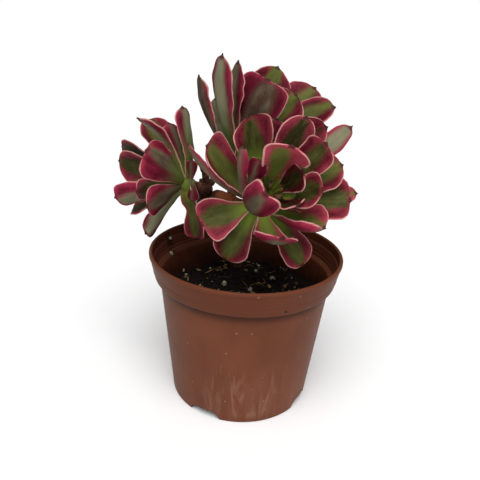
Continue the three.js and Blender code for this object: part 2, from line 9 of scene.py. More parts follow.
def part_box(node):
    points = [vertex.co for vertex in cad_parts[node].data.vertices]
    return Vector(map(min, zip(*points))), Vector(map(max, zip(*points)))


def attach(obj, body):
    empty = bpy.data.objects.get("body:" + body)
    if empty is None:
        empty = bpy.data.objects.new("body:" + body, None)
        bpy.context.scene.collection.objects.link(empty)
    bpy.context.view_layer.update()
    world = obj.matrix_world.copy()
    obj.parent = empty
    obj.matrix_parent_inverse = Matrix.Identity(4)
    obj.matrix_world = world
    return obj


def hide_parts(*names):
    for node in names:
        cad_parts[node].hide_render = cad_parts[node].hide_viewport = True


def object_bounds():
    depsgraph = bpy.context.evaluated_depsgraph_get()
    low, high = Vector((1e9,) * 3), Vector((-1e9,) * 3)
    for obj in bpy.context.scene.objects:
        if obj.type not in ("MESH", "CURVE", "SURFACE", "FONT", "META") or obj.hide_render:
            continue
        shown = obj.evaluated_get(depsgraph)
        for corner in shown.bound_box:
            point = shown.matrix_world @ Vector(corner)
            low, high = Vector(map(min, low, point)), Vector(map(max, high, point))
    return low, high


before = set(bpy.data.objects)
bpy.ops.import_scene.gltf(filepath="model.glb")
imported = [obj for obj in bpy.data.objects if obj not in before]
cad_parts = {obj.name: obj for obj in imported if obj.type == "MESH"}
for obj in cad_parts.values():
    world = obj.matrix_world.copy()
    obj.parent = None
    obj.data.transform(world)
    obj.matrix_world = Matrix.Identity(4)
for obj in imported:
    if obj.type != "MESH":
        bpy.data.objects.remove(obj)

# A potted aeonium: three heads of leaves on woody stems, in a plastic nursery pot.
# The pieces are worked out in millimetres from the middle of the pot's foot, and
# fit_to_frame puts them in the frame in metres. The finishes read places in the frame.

solid_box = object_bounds()
pot_low, pot_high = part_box("pot")
pot_middle = (pot_low + pot_high) / 2
fit_to_frame = Matrix.Translation((pot_middle.x, pot_middle.y, 0)) @ Matrix.Scale(0.001, 4)
rng = random.Random(11)
hair_rng = random.Random(12)

# Sizes of the pot. The cuts are how long the cutters of the gaps and the drain holes are.
LIP_RADIUS = 60
POT_HEIGHT = 97
BASE_RADIUS = 45
BODY_TOP_RADIUS = 53.3
BODY_TOP_HEIGHT = 79
BAND_FOOT_RADIUS = 56.45
BAND_FOOT_HEIGHT = 80.5
RING_DEPTH = 0.22
RING_STEP = 2.1
WALL = 1.4
FLOOR_BOTTOM = 5
FLOOR_TOP = 6.6
GAP_COUNT = 4
GAP_FIRST_ANGLE = -118
GAP_WIDTH = 21
GAP_HEIGHT = 4.9
GAP_CUT = 12
DRAIN_CUT = 8
DRAIN_RADIUS = 4
DRAIN_CENTRE_RADIUS = 33
ROUND_STEPS = 200

# Sizes of the soil and what lies on it
SOIL_RINGS = 60
SOIL_LEVEL = 65.5
MOUND_HEIGHT = 4
MOUND_SPREAD = 9
CRUMB_COUNT = 1500
DUST_COUNT = 70
CHIP_COUNT = 90
FIBRE_COUNT = 26

# Sizes of the stems, and of the core of each head, which reaches back into its branch
TRUNK_FOOT = (-6, 37)
STEM_STEP = 0.7
SCAR_STEP = 2.1
SCAR_HEIGHT = 0.22
CORE_STEP = 0.8
CORE_ROOT = 5

# Spots with a colour of their own, in the frame: the dry leaf base on a branch, the soil that
# sticks to the inside of the pot and a dark dot on its band
DRY_PATCH = (-3, 4, 128)
SOIL_STAIN = (-40.3, 23.5, 86)
DARK_DOT = (33, -52.4, 83.5)

# Sizes of a leaf
RIB_THICKNESS = 2.6
BLADE_THICKNESS = 1.7
EDGE_THICKNESS = 0.9
FOOT_CHANNEL = 0.5
WIDTH_CHANGE = 0.13
RUFFLE_HEIGHT = 1.5
RIPPLE_HEIGHT = 0.45
GROOVE_DEPTH = 0.28
GROOVE_HALF_WIDTH = 1.1
OUTLINE_STEPS = 90
OUTLINE_REACH = 14
YOUNG_COUNT = 7
YOUNG_LENGTH = 9
YOUNG_WIDTH = 5
HAIR_LENGTH = 0.75
HAIR_THICKNESS = 0.16
HAIR_SPACING = 0.8
HAIRY_SHARE = 0.8
HAIRY_FROM = 0.15
HAIRY_TO = 0.94
GOLDEN_ANGLE = 137.5

# Lengths on a leaf are kept in its attributes as a share of this one
KEPT_SPAN = 20

# Half width of a blade along its length, for a blunt tip and for a pointed tip.
# The last stations are the small dark point that ends each leaf.
STATIONS = (0, 0.12, 0.25, 0.4, 0.55, 0.68, 0.78, 0.87, 0.94, 0.965, 0.98, 1)
BLUNT_OUTLINE = (0.25, 0.27, 0.37, 0.56, 0.79, 0.95, 1, 0.93, 0.7, 0.47, 0.13, 0.02)
POINTED_OUTLINE = (0.25, 0.27, 0.37, 0.58, 0.83, 0.99, 0.97, 0.77, 0.45, 0.29, 0.11, 0.02)

# Heads of leaves: where each core starts, where it points and how thick it is
HEADS = {
    "front": dict(origin=(5, -6, 129), axis=(0.36, -0.72, 0.6), radius=6, length=20),
    "upper": dict(origin=(-8, 14, 149), axis=(0.38, 0.12, 0.9), radius=5.5, length=20),
    "left": dict(origin=(-38, 12, 133), axis=(-0.95, 0.15, 0.15), radius=5, length=18),
}

# Grown leaves. tip: the point of the leaf. rise: how far up the core the leaf starts, or foot:
# where it starts. wide: the widest part. bow: offset of the mid line toward the upper face, near
# the foot and near the tip. sway: sideways offset. cup: how far each margin turns up, left and
# right. wave: how far the margins swing. face: where the upper face looks, else along the core.
# turn: extra turn in degrees. blunt: 0 for a pointed tip, 1 for a blunt one, more for a squared
# one. slant: how far the right margin runs ahead of the left one. notch: how far both lobes run
# ahead of the tip. base: how much wider than usual the foot is. lean: how far the green stripe
# runs from the middle. flush: the share of the width that it takes. green: how light it is.
# pink: how light the lobes are. bloom: how pale the under face is. glow: how bright the foot is.
# rim: above 1 for a narrower pale edge, which small leaves have without it.
USUAL_LEAF = dict(
    rise=0, bow=(0, 0), sway=0, cup=(0.25, 0.25), wave=0.06, turn=0, blunt=0.6, slant=0, notch=0,
    base=1, lean=0, flush=0.46, green=0.5, pink=0.35, bloom=0.35, glow=0.5,
)
FRONT_LEAVES = [
    dict(
        tip=(-4, -14, 181), rise=3, wide=25, bow=(2, 4), sway=-1, cup=(0.25, 0.45), blunt=1.3,
        slant=0.15, base=1.8, flush=0.5, green=0.15, glow=2,
    ),
    dict(
        tip=(-26, -12, 163.5), rise=2, wide=26, bow=(2, 4), sway=-5, cup=(0.6, 0.2), blunt=1.2,
        slant=0.3, green=0.4,
    ),
    dict(
        tip=(-5.5, -30, 168), foot=(-3, -18, 137), wide=11, bow=(-5, -5), sway=-2,
        face=(0.8, 0.7, 0.1), cup=(0.9, 0.9), base=2.6, blunt=0, flush=0.1, pink=0.75, bloom=0.3,
    ),
    dict(
        tip=(-27, -22, 120), rise=3, wide=25, bow=(2, 4), sway=-1, blunt=1.5, slant=0.1, lean=0.8,
        green=0.28, pink=0.5, flush=0.5, glow=1,
    ),
    dict(
        tip=(-13, -24, 100), rise=3, wide=23, bow=(2, 4), sway=2, base=1.4, green=0.25, pink=0.2,
        glow=1.2,
    ),
    dict(
        tip=(8, -50, 149), rise=7, wide=20, bow=(-12, -13), face=(0.7, 0.5, 0.6), cup=(0.3, 0.3),
        blunt=1.3, notch=0.45, flush=0.36, bloom=0.2,
    ),
    dict(
        tip=(18, -52, 127), rise=6, wide=25, bow=(-6, -18), face=(0.3, -0.4, 0.8), blunt=1.3,
        pink=0.6, glow=1.1,
    ),
    dict(tip=(33, -22, 97), rise=2, wide=23, bow=(2, 5), base=1.3, green=0.3, glow=1.2),
    dict(
        tip=(42, -34, 126), rise=5, wide=30, bow=(-2, -3), sway=4, cup=(0.2, 1.05), pink=0.9,
        flush=0.48, green=0.6, glow=1.4,
    ),
    dict(tip=(58, -16, 137), rise=4, wide=29, bow=(1, 4), blunt=1, green=0.3),
    dict(tip=(52, -10, 156), rise=4, wide=23, bow=(1, 3), green=0.5),
    dict(tip=(40, -20, 170), rise=7, wide=20, bow=(1, 1), sway=2, blunt=1.7, green=0.15),
    dict(
        tip=(19.5, -42, 172), rise=12, wide=24, bow=(-5, -3), face=(0.1, -1, 0.2), cup=(0.4, 0.15),
        wave=0.35, blunt=2, slant=0.2, lean=-3, pink=1, green=0.7, glow=1.5, rim=0.6,
    ),
    dict(tip=(29, -10, 182), rise=8, wide=21, bow=(2, 3), sway=-2, green=0, pink=0.45),
    dict(tip=(27, -35, 157), rise=15, wide=17, bow=(-2, -2), blunt=1.2, green=0, pink=0),
    dict(
        tip=(11, -31, 164), rise=15, wide=15, bow=(-3, -3), cup=(0.5, 0.5), blunt=1, green=1.2,
        glow=4, bloom=0.5, flush=1.3, rim=4,
    ),
    dict(tip=(26, -38, 140), rise=14, wide=15, bow=(-3, -3), blunt=1, green=0, pink=0.1),
    dict(tip=(39, -32, 147), rise=11, wide=22, blunt=1.2, green=0.1, flush=0.6),
    dict(
        tip=(4, -33, 162), foot=(0, -24, 142), wide=13, bow=(-3, -3), face=(0.5, 0.7, 0.4),
        cup=(0.5, 0.5), blunt=1, pink=0.1, flush=0,
    ),
    dict(tip=(12, -2, 179), rise=4, wide=17, sway=2, lean=-5, flush=0.3),
    dict(
        tip=(58, 8, 175), rise=1, wide=14, face=(0.2, 1, -0.2), blunt=0.8, flush=0.7, bloom=0.7,
        pink=0.8,
    ),
    dict(tip=(65, 2, 136), rise=1, wide=14, pink=0.7),
    dict(
        tip=(-37.7, 0, 161.5), rise=0, wide=8, bow=(-9, -8), face=(0.6, 0.7, 0.4), bloom=0.5,
        pink=0.9, flush=0.4,
    ),
    dict(tip=(-8, 0, 161), rise=1, wide=13, base=1.8, flush=1.3, green=0.8, glow=0.8),
]
UPPER_LEAVES = [
    dict(
        tip=(7, 6, 199), rise=4, wide=31, bow=(-6, -10), blunt=1.2, slant=0.1, notch=0.25,
        flush=0.44, lean=-2.5, bloom=0.07, pink=0.25,
    ),
    dict(tip=(14, 40, 204), rise=4, wide=29, bow=(-2, -2), blunt=0, flush=0.38),
    dict(
        tip=(38, 36, 193), rise=6, wide=28, sway=-1, face=(0.3, -0.35, 0.8), slant=0.05, flush=0.36,
    ),
    dict(tip=(25, 18, 190), rise=10, wide=32, face=(-0.3, -0.7, 0.6), blunt=0.4, flush=0.36),
    dict(tip=(45, 40, 184), rise=4, wide=22),
    dict(
        tip=(49, 20, 183.5), rise=3, wide=25, sway=-4, face=(0.1, -0.6, 0.8), cup=(0.2, 0.4),
        blunt=0.3, slant=-0.3, lean=-3, flush=0.3, pink=0.2,
    ),
    dict(
        tip=(43.5, 6, 174), rise=3, wide=22, bow=(-2, -3), face=(0.3, -0.8, 0.5), flush=0.08,
        green=0, pink=0.5,
    ),
    dict(tip=(-31, -4, 200), rise=1, wide=15, bow=(-6, -8), bloom=0.1, flush=0.7, blunt=0.3),
    dict(tip=(-18, -16, 212), rise=2, wide=18, bow=(-6, -9), base=1.7, bloom=0.7, glow=1.6),
    dict(tip=(-10, 4, 208), rise=4, wide=17, bow=(-4, -5), lean=1, blunt=0.3, glow=1.4),
    dict(
        tip=(-23, 10, 187), rise=0, wide=13, face=(0, 1, 0), base=1.5, blunt=0.2, flush=1.3,
        bloom=0.8, pink=0.5,
    ),
    dict(tip=(-20, 36, 194), rise=2, wide=20),
    dict(tip=(-4, 46, 196), rise=3, wide=22),
    dict(tip=(22, 54, 182), rise=1, wide=22),
    dict(tip=(2, 28, 200), rise=8, wide=20, bow=(-2, -2)),
    dict(tip=(14, 16, 196), rise=9, wide=18, bow=(-3, -3)),
    dict(tip=(-2, 16, 192), rise=12, wide=14, bow=(-2, -2)),
    dict(tip=(18, 26, 190), rise=14, wide=14, bow=(-2, -2)),
]
LEFT_LEAVES = [
    dict(
        tip=(-60, -12, 159), rise=3, wide=25, bow=(-4, -6), sway=2, blunt=1.3, slant=0.1,
        flush=0.32, lean=-2, bloom=0.2, pink=0.4, glow=1.6,
    ),
    dict(
        tip=(-66, -2, 175), rise=3, wide=18, bow=(5, 6), face=(0.6, 0.5, 0.6), bloom=0.5, glow=2.2,
    ),
    dict(tip=(-66, 24, 170), rise=4, wide=26, face=(0.7, -0.6, 0.4), pink=0.5),
    dict(
        tip=(-51, 16, 170), rise=2, wide=18, bow=(-3, -5), face=(-0.6, 0.5, -0.2), flush=0.2,
        pink=0.3, glow=1.6,
    ),
    dict(
        tip=(-42, 10, 181), rise=0, wide=15, bow=(-4, -3), turn=-20, base=1.5, bloom=0.85, lean=-1,
        glow=2.4,
    ),
    dict(tip=(-83, 30, 151), rise=7, wide=24, turn=15, blunt=1.3, green=0.1, flush=0.75),
    dict(tip=(-84, 24, 143), rise=9, wide=24, turn=15, green=0.1, pink=0.5),
    dict(
        tip=(-83, 6, 124), rise=7, wide=18, face=(0.2, 0.9, 0.3), blunt=1.2, slant=-0.1, lean=3,
        bloom=0.6, pink=0.6,
    ),
    dict(
        tip=(-68, -2, 131), rise=8, wide=15, face=(0, 0.9, 0.2), blunt=1, pink=0.4, flush=0.8,
        bloom=0, green=0.1, glow=2.5,
    ),
    dict(
        tip=(-60, -12, 125), rise=4, wide=21, bow=(-3, -5), sway=-3, face=(-0.5, 0.8, 0.2),
        flush=0.4, bloom=0.15,
    ),
    dict(tip=(-77, 26, 109), rise=5, wide=20, face=(0, -0.4, 0.8), green=0.1),
    dict(
        tip=(-63, -2, 104), rise=2, wide=12, bow=(3, 3), face=(-0.5, 0.8, 0), blunt=1.5, slant=0.3,
        flush=0.6, bloom=0.8, glow=0.8,
    ),
    dict(
        tip=(-31, 6, 99), foot=(-38.5, 8.5, 135), wide=17, bow=(-1, -1), face=(-0.6, -0.7, 0.3),
        blunt=1.6, base=2.6, green=0.35, glow=0.6,
    ),
    dict(
        tip=(-35, 4, 151), foot=(-36, 6, 135), wide=7.5, face=(0.4, 0.9, 0), bloom=0.4, pink=0.25,
        flush=0,
    ),
    dict(
        tip=(-34.5, 3, 125.5), foot=(-34, 5, 138), wide=8, face=(0.4, 0.9, 0), bloom=0.3, pink=0.2,
        flush=0,
    ),
    dict(tip=(-60, 42, 152), rise=3, wide=20),
    dict(tip=(-62, 44, 128), rise=4, wide=20),
    dict(tip=(-68, 14, 146), rise=10, wide=18, bow=(-2, -2)),
    dict(tip=(-74, 22, 132), rise=11, wide=18, bow=(-2, -2)),
]


def colour(red, green, blue):
    """A colour as it looks on a screen, in 256 steps, made linear."""
    linear = []
    for level in (red, green, blue):
        share = level / 255
        linear.append(share / 12.92 if share <= 0.04045 else ((share + 0.055) / 1.055) ** 2.4)
    return (*linear, 1)


def mix(first, second, share):
    return first + (second - first) * share


def smooth_step(value, low, high):
    share = min(1, max(0, (value - low) / (high - low)))
    return share * share * (3 - 2 * share)


class Wire:
    """One output in a finish. Sums and products of wires add their Math nodes."""

    def __init__(self, finish, socket):
        self.finish = finish
        self.socket = socket

    def also(self, output):
        """Another output of the same node."""
        return Wire(self.finish, self.socket.node.outputs[output])

    def math(self, operation, first, second=0):
        return self.finish.add("ShaderNodeMath", {"operation": operation}, {0: first, 1: second})

    def __add__(self, other):
        return self.math("ADD", self, other)

    __radd__ = __add__

    def __sub__(self, other):
        return self.math("SUBTRACT", self, other)

    def __rsub__(self, other):
        return self.math("SUBTRACT", other, self)

    def __mul__(self, other):
        return self.math("MULTIPLY", self, other)

    __rmul__ = __mul__

    def __abs__(self):
        return self.math("ABSOLUTE", self)

    def larger(self, other):
        return self.math("MAXIMUM", self, other)

    def smaller(self, other):
        return self.math("MINIMUM", self, other)

    def rise(self, low, high):
        """0 up to low, 1 from high on, and smooth between; high may be the lower of the two."""
        return self.finish.add(
            "ShaderNodeMapRange",
            {"interpolation_type": "SMOOTHSTEP"},
            {"Value": self, "From Min": low, "From Max": high},
        )


class Finish:
    """One material, built on its Principled shader."""

    def __init__(self, name, constant):
        self.material = bpy.data.materials.new(name)
        self.material.use_nodes = True
        self.tree = self.material.node_tree
        self.shader = self.tree.nodes["Principled BSDF"]
        for socket, value in constant.items():
            self.shader.inputs[socket].default_value = value

    def add(self, kind, settings=None, inputs=None, output=0):
        """A node with its settings and the values or wires of its sockets. Gives one output."""
        node = self.tree.nodes.new(kind)
        for key, value in (settings or {}).items():
            setattr(node, key, value)
        for key, value in (inputs or {}).items():
            self.join(value, node.inputs[key])
        return Wire(self, node.outputs[output])

    def join(self, value, socket):
        if isinstance(value, Wire):
            self.tree.links.new(value.socket, socket)
        else:
            socket.default_value = value

    def feed(self, name, value):
        self.join(value, self.shader.inputs[name])

    def attribute(self, name, output="Color"):
        return self.add("ShaderNodeAttribute", {"attribute_name": name}, output=output)

    def part(self, wire, name):
        """Red, Green or Blue of a colour, or X, Y or Z of a place."""
        kind = "XYZ" if name in "XYZ" else "Color"
        return self.add(f"ShaderNodeSeparate{kind}", None, {0: wire}, name)

    def mixed(self, share, first, second):
        """The first colour where share is 0 and the second where it is 1."""
        settings = {"data_type": "RGBA", "clamp_factor": True}
        return self.add("ShaderNodeMix", settings, {0: share, 6: first, 7: second}, 2)

    def stretched(self, vector, scale):
        return self.add("ShaderNodeVectorMath", {"operation": "MULTIPLY"}, {0: vector, 1: scale})

    def place(self, scale=(1, 1, 1)):
        """Places in the frame in millimetres, stretched by scale."""
        spot = self.add("ShaderNodeTexCoord", output="Object")
        return self.stretched(spot, tuple(1000 * part for part in scale))

    def apart(self, vector, spot):
        """Distance from a spot."""
        sockets = {0: vector, 1: spot}
        return self.add("ShaderNodeVectorMath", {"operation": "DISTANCE"}, sockets, "Value")

    def grain(self, vector, scale, detail=3, roughness=0.55, distortion=0):
        """Noise between 0 and 1."""
        sockets = {
            "Vector": vector,
            "Scale": scale,
            "Detail": detail,
            "Roughness": roughness,
            "Distortion": distortion,
        }
        return self.add("ShaderNodeTexNoise", {"noise_dimensions": "3D"}, sockets)

    def cells(self, vector, scale):
        """Distance from the middle of the nearest of many scattered cells."""
        return self.add("ShaderNodeTexVoronoi", None, {"Vector": vector, "Scale": scale})

    def relief(self, height, distance, strength):
        sockets = {"Height": height, "Distance": distance, "Strength": strength}
        self.feed("Normal", self.add("ShaderNodeBump", None, sockets))


def make_piece(name, shape, finish, slot, *nodes):
    """Turns a shape in millimetres into a piece of the object, and hides the solids it stands for."""
    shape.transform(fit_to_frame)
    mesh = bpy.data.meshes.new(name)
    shape.to_mesh(mesh)
    shape.free()
    mesh.materials.append(finish.material)
    mesh.shade_smooth()
    piece = bpy.data.objects.new(name, mesh)
    bpy.context.collection.objects.link(piece)
    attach(piece, "root")
    if nodes:
        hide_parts(*nodes)
    return piece


# Finishes


def pot_finish():
    """Moulded plastic with pale scuffs low down and soil stains inside, with painted shade inside, on
    the lip, on the left side and below the band.
    """
    finish = Finish("pot plastic", {"Roughness": 0.45, "Specular IOR Level": 0.09})
    spot = finish.place()
    x = finish.part(spot, "X")
    y = x.also("Y")
    height = x.also("Z")
    inside = finish.part(finish.attribute("wall"), "Red")
    lip = inside.also("Green")
    outside = 1 - inside
    cloud = finish.grain(spot, 0.03, 4)
    patch = finish.grain(spot, 0.11, 5, 0.6)
    speck = finish.grain(spot, 1.3, 2)
    drawn = finish.grain(finish.place((1, 1, 0.12)), 0.13, 4, 0.5)
    brushed = finish.grain(finish.place((0.04, 0.04, 1)), 1.6, 3, 0.6)

    # the plastic itself, darker on the band, and a painted shadow below the band
    tint = finish.mixed(cloud.rise(0.3, 0.7), colour(97, 54, 36), colour(108, 60, 40))
    tint = finish.mixed(patch.rise(0.45, 0.8) * 0.35, tint, colour(98, 66, 44))
    tint = finish.mixed(speck.rise(0.5, 0.9) * 0.25, tint, colour(80, 44, 28))
    band = height.rise(BAND_FOOT_HEIGHT - 1, BAND_FOOT_HEIGHT + 1) * outside
    tint = finish.mixed(band * (0.25 + 0.35 * brushed), tint, colour(84, 40, 24))
    # painted shadow: the outside just below the band is darkened as if the band shaded it
    painted_shadow = height.rise(BAND_FOOT_HEIGHT - 8, BAND_FOOT_HEIGHT - 1) * (1 - band) * outside
    tint = finish.mixed(painted_shadow * 0.75, tint, colour(50, 26, 17))

    # pale smears on the front of the foot, scuffs round it and flecks all over, then painted shade on
    # the top of the lip and on the left side
    low = height.rise(60, 6)
    front = abs(x - 13).rise(30, 14) * y.rise(-20, -36) * height.rise(52, 22) * height.rise(0, 8)
    smear = finish.grain(finish.place((1, 1, 0.08)), 0.2, 3, 0.55, 1).rise(0.46, 0.66) * front
    scuff = (drawn.rise(0.46, 0.72) * low * 0.5).larger(smear * (0.5 + patch)) * outside
    tint = finish.mixed(scuff * 0.2, tint, colour(176, 138, 120))
    fleck = finish.cells(spot, 0.14).rise(0.1, 0.04)
    tint = finish.mixed(fleck * 0.4, tint, colour(178, 148, 128))
    # painted shade: the top of the lip is darkened to damp the light it catches from above
    tint = finish.mixed(lip * 0.5, tint, colour(100, 54, 36))
    # painted shade: the outside turns darker and greyer toward its left side
    tint = finish.mixed(x.rise(-10, -55) * outside * 0.35, tint, colour(78, 56, 36))

    # the inside: painted shade all over and more of it to the left, and soil stains with painted
    # shade above the soil
    # soil stains and painted shade together, strongest just above the soil
    stain_and_shade = (height + (patch - 0.5) * 26).rise(82, 66) * inside
    # painted shade: the whole inside is darker, and more so toward the left
    tint = finish.mixed(inside * 0.3, tint, colour(100, 42, 22))
    tint = finish.mixed(inside * x.rise(50, 5) * 0.55, tint, colour(44, 19, 12))
    tint = finish.mixed(stain_and_shade * 0.8, tint, colour(38, 20, 14))
    marks = ((SOIL_STAIN, 5, 0.15, inside), (DARK_DOT, 1.1, 1, outside))
    for (across, back, up), wide, squash, side in marks:
        apart = finish.apart(finish.place((1, 1, squash)), (across, back, up * squash))
        mark = (apart + (patch - 0.5) * wide).rise(wide, wide * 0.5) * side
        tint = finish.mixed(mark * 0.75, tint, colour(24, 14, 10))
    finish.feed("Base Color", tint)
    finish.feed("Roughness", 0.42 + 0.14 * patch + 0.12 * scuff + 0.2 * stain_and_shade)
    fine = finish.grain(spot, 2.2, 3)
    finish.relief(fine * 0.3 + drawn * 0.7, 0.0002, 0.25)
    return finish


def soil_finish():
    """Damp peat: nearly black, with brown crumbs."""
    finish = Finish("potting mix", {"Roughness": 0.92, "Specular IOR Level": 0.15})
    spot = finish.place()
    coarse = finish.grain(spot, 0.5, 4, 0.65)
    fine = finish.grain(spot, 2.6, 4, 0.7)
    tint = finish.mixed(coarse.rise(0.35, 0.75), colour(12, 8, 6), colour(30, 20, 15))
    tint = finish.mixed(fine.rise(0.62, 0.8) * 0.6, tint, colour(60, 42, 30))
    finish.feed("Base Color", tint)
    finish.feed("Roughness", 0.8 + 0.18 * fine)
    finish.relief(fine + coarse, 0.0008, 0.8)
    return finish


def perlite_finish():
    """Pale porous grains with dust on them."""
    finish = Finish("perlite", {"Roughness": 0.85, "Specular IOR Level": 0.25})
    spot = finish.place()
    pore = finish.cells(spot, 1.6).rise(0.1, 0.45)
    dust = finish.grain(spot, 0.9, 4)
    tint = finish.mixed(dust.rise(0.4, 0.75), colour(156, 150, 128), colour(104, 90, 68))
    tint = finish.mixed((1 - pore) * 0.5, tint, colour(96, 78, 58))
    finish.feed("Base Color", tint)
    finish.relief(pore, 0.0004, 0.6)
    return finish


def bark_finish():
    """Chips and fibres of coir, from dark brown to gold."""
    finish = Finish("coir and bark", {"Roughness": 0.8, "Specular IOR Level": 0.25})
    spot = finish.place()
    piece = finish.grain(spot, 0.09, 2)
    fibre = finish.grain(finish.place((1, 1, 3)), 1.8, 4, 0.7)
    tint = finish.mixed(piece.rise(0.42, 0.62), colour(58, 40, 25), colour(144, 112, 70))
    tint = finish.mixed(fibre.rise(0.45, 0.8) * 0.7, tint, colour(40, 27, 19))
    finish.feed("Base Color", tint)
    finish.relief(fibre, 0.0004, 0.6)
    return finish


def stem_finish():
    """Woody skin that turns green toward the young end, with paler scars of old leaves."""
    finish = Finish("woody stem", {"Roughness": 0.75, "Specular IOR Level": 0.3})
    spot = finish.place()
    age = finish.part(finish.attribute("wood"), "Red")
    scar = age.also("Green")
    cork = finish.grain(spot, 0.5, 5, 0.65)
    crack = finish.grain(finish.place((1, 1, 0.25)), 1.4, 4, 0.7)
    tint = finish.mixed(cork.rise(0.35, 0.7), colour(44, 22, 14), colour(96, 50, 28))
    tint = finish.mixed(crack.rise(0.55, 0.75) * 0.5, tint, colour(26, 15, 11))
    young = finish.mixed(cork.rise(0.3, 0.7), colour(96, 100, 44), colour(128, 122, 70))
    tint = finish.mixed(age.rise(0.62, 0.98), tint, young)
    tint = finish.mixed(scar.rise(0.3, 0.8) * 0.3, tint, colour(120, 84, 56))
    lower = (finish.part(spot, "Z") + cork * 4).rise(134.5, 131.5)
    dry_skin = finish.mixed(lower, colour(62, 18, 18), colour(150, 82, 40))
    tint = finish.mixed(finish.apart(spot, DRY_PATCH).rise(13, 8) * 0.8, tint, dry_skin)
    finish.feed("Base Color", tint)
    finish.relief(cork * 0.6 + crack * 0.5 + scar * 0.4, 0.0006, 0.6)
    return finish


def leaf_finish():
    """Fleshy skin: a green stripe from the foot to the tip, crimson lobes and a thin pale edge."""
    finish = Finish(
        "leaf skin",
        {
            "Roughness": 0.55,
            "Specular IOR Level": 0.1,
            "Subsurface Weight": 0.06,
            "Subsurface Radius": (1, 0.4, 0.25),
            "Subsurface Scale": 0.0012,
        },
    )
    # what grow_leaf wrote on each leaf
    skin, tone, habit = (finish.attribute(name) for name in ("skin", "tone", "habit"))
    along = finish.part(skin, "Red")
    depth = along.also("Green") * KEPT_SPAN
    upper = along.also("Blue")
    green = finish.part(tone, "Red")
    band = green.also("Green") * KEPT_SPAN
    pink = green.also("Blue")
    pointed = finish.part(habit, "Red")
    bloom = pointed.also("Green")
    glow = pointed.also("Blue")
    lean = habit.also("Alpha") * KEPT_SPAN - KEPT_SPAN / 2
    blade = finish.attribute("blade", "Vector")
    aside = finish.part(blade, "X")

    streak = finish.grain(finish.stretched(blade, (1, 0.1, 1)), 1, 4, 0.6)
    broad = finish.grain(finish.stretched(blade, (1, 0.4, 1)), 0.2, 3, 0.5)
    fine = finish.grain(finish.stretched(blade, (1, 0.14, 1)), 3, 3, 0.65)
    speckle = finish.grain(finish.stretched(blade, (1, 0.7, 1)), 2.2, 3, 0.65)

    # where the green stripe is, the pale edge and the dark point of the tip
    ragged = (streak - 0.5) * 3 + (broad - 0.5) * 4.5 + (fine - 0.5) * 1.5
    reach = band * (1 - 0.35 * along.rise(0.72, 0.96))
    stripe = (abs(aside - lean) + ragged - reach).rise(2.4, -2.2)
    crest = (depth + ragged * 0.5).rise(0.8, 2.8).larger(pointed * 1.6)
    foot = along.rise(0.35 + glow * 0.2, 0.1)
    middle = (stripe * crest).larger(foot * depth.rise(0.4, 1.2))
    dark_point = along.rise(0.945, 0.968) * abs(aside).rise(2.4, 1.2)
    edge = depth.rise(0.65, 0.2) * (0.35 + streak * 1.1) * (1 - dark_point)

    # the upper face: green, and crimson that is lighter near the edge
    shade = green + (broad - 0.5) * 0.9 + (fine - 0.5) * 0.35
    leaf_green = finish.mixed(shade, colour(40, 36, 8), colour(106, 112, 50))
    leaf_green = finish.mixed(streak.rise(0.5, 0.8) * 0.25, leaf_green, colour(116, 120, 78))
    leaf_green = finish.mixed(foot * glow, leaf_green, colour(116, 136, 48))
    margin = (1 - depth * 0.3).larger(0)
    rosy = margin * 0.5 + (broad - 0.5) * 1.1 + (fine - 0.5) * 0.5 + pink - 0.28
    crimson = finish.mixed(rosy, colour(76, 5, 22), colour(164, 60, 76))
    above = finish.mixed(middle, crimson, leaf_green)

    # the under face: greyer and browner
    murk = bloom + (broad - 0.5) * 0.8 + (fine - 0.5) * 0.3
    pale_green = finish.mixed(murk, colour(62, 42, 32), colour(142, 142, 112))
    pale_green = finish.mixed(foot * glow * 0.8, pale_green, colour(88, 106, 46))
    dusky = finish.mixed(rosy, colour(78, 0, 22), colour(158, 44, 72))
    below = finish.mixed(middle, dusky, pale_green)

    # both faces, with speckles, the edge and the tip
    tint = finish.mixed(upper, below, above)
    tint = finish.mixed(speckle.rise(0.55, 0.8) * 0.35, tint, colour(58, 42, 32))
    tint = finish.mixed(speckle.rise(0.42, 0.2) * 0.25, tint, colour(160, 140, 120))
    pale_edge = finish.mixed(foot, colour(206, 152, 142), colour(180, 170, 124))
    tint = finish.mixed(edge.smaller(1) * 0.9, tint, pale_edge)
    tint = finish.mixed(dark_point * 0.85, tint, colour(58, 34, 28))
    finish.feed("Base Color", tint)
    finish.feed("Roughness", 0.52 + 0.12 * speckle + 0.06 * (1 - upper))
    finish.relief(streak * 0.7 + speckle * 0.4 + broad * 0.6 + fine * 0.3, 0.0004, 0.6)
    return finish


# The pot


def rounded(corners):
    """A closed outline whose corners (x, y, reach) are rounded by a curve of that reach."""
    points = []
    for before, corner, after in zip(corners[-1:] + corners[:-1], corners, corners[1:] + corners[:1]):
        here = Vector(corner[:2])
        back = Vector(before[:2]) - here
        ahead = Vector(after[:2]) - here
        reach = min(corner[2], back.length * 0.45, ahead.length * 0.45)
        if reach == 0:
            points.append(here)
            continue
        start = here + back.normalized() * reach
        end = here + ahead.normalized() * reach
        for k in range(6):
            t = k / 5
            points.append(start * (1 - t) ** 2 + here * 2 * t * (1 - t) + end * t * t)
    return points


def filled_in(points, step):
    """The same line with extra points, so that none are further apart than step."""
    dense = [points[0]]
    for start, end in zip(points, points[1:]):
        count = max(1, math.ceil((end - start).length / step))
        dense += [start.lerp(end, k / count) for k in range(1, count + 1)]
    return dense


def inner_radius(height):
    """Radius of the inside of the pot's body."""
    slope = (BODY_TOP_RADIUS - BASE_RADIUS) / BODY_TOP_HEIGHT
    return BASE_RADIUS + slope * height - WALL


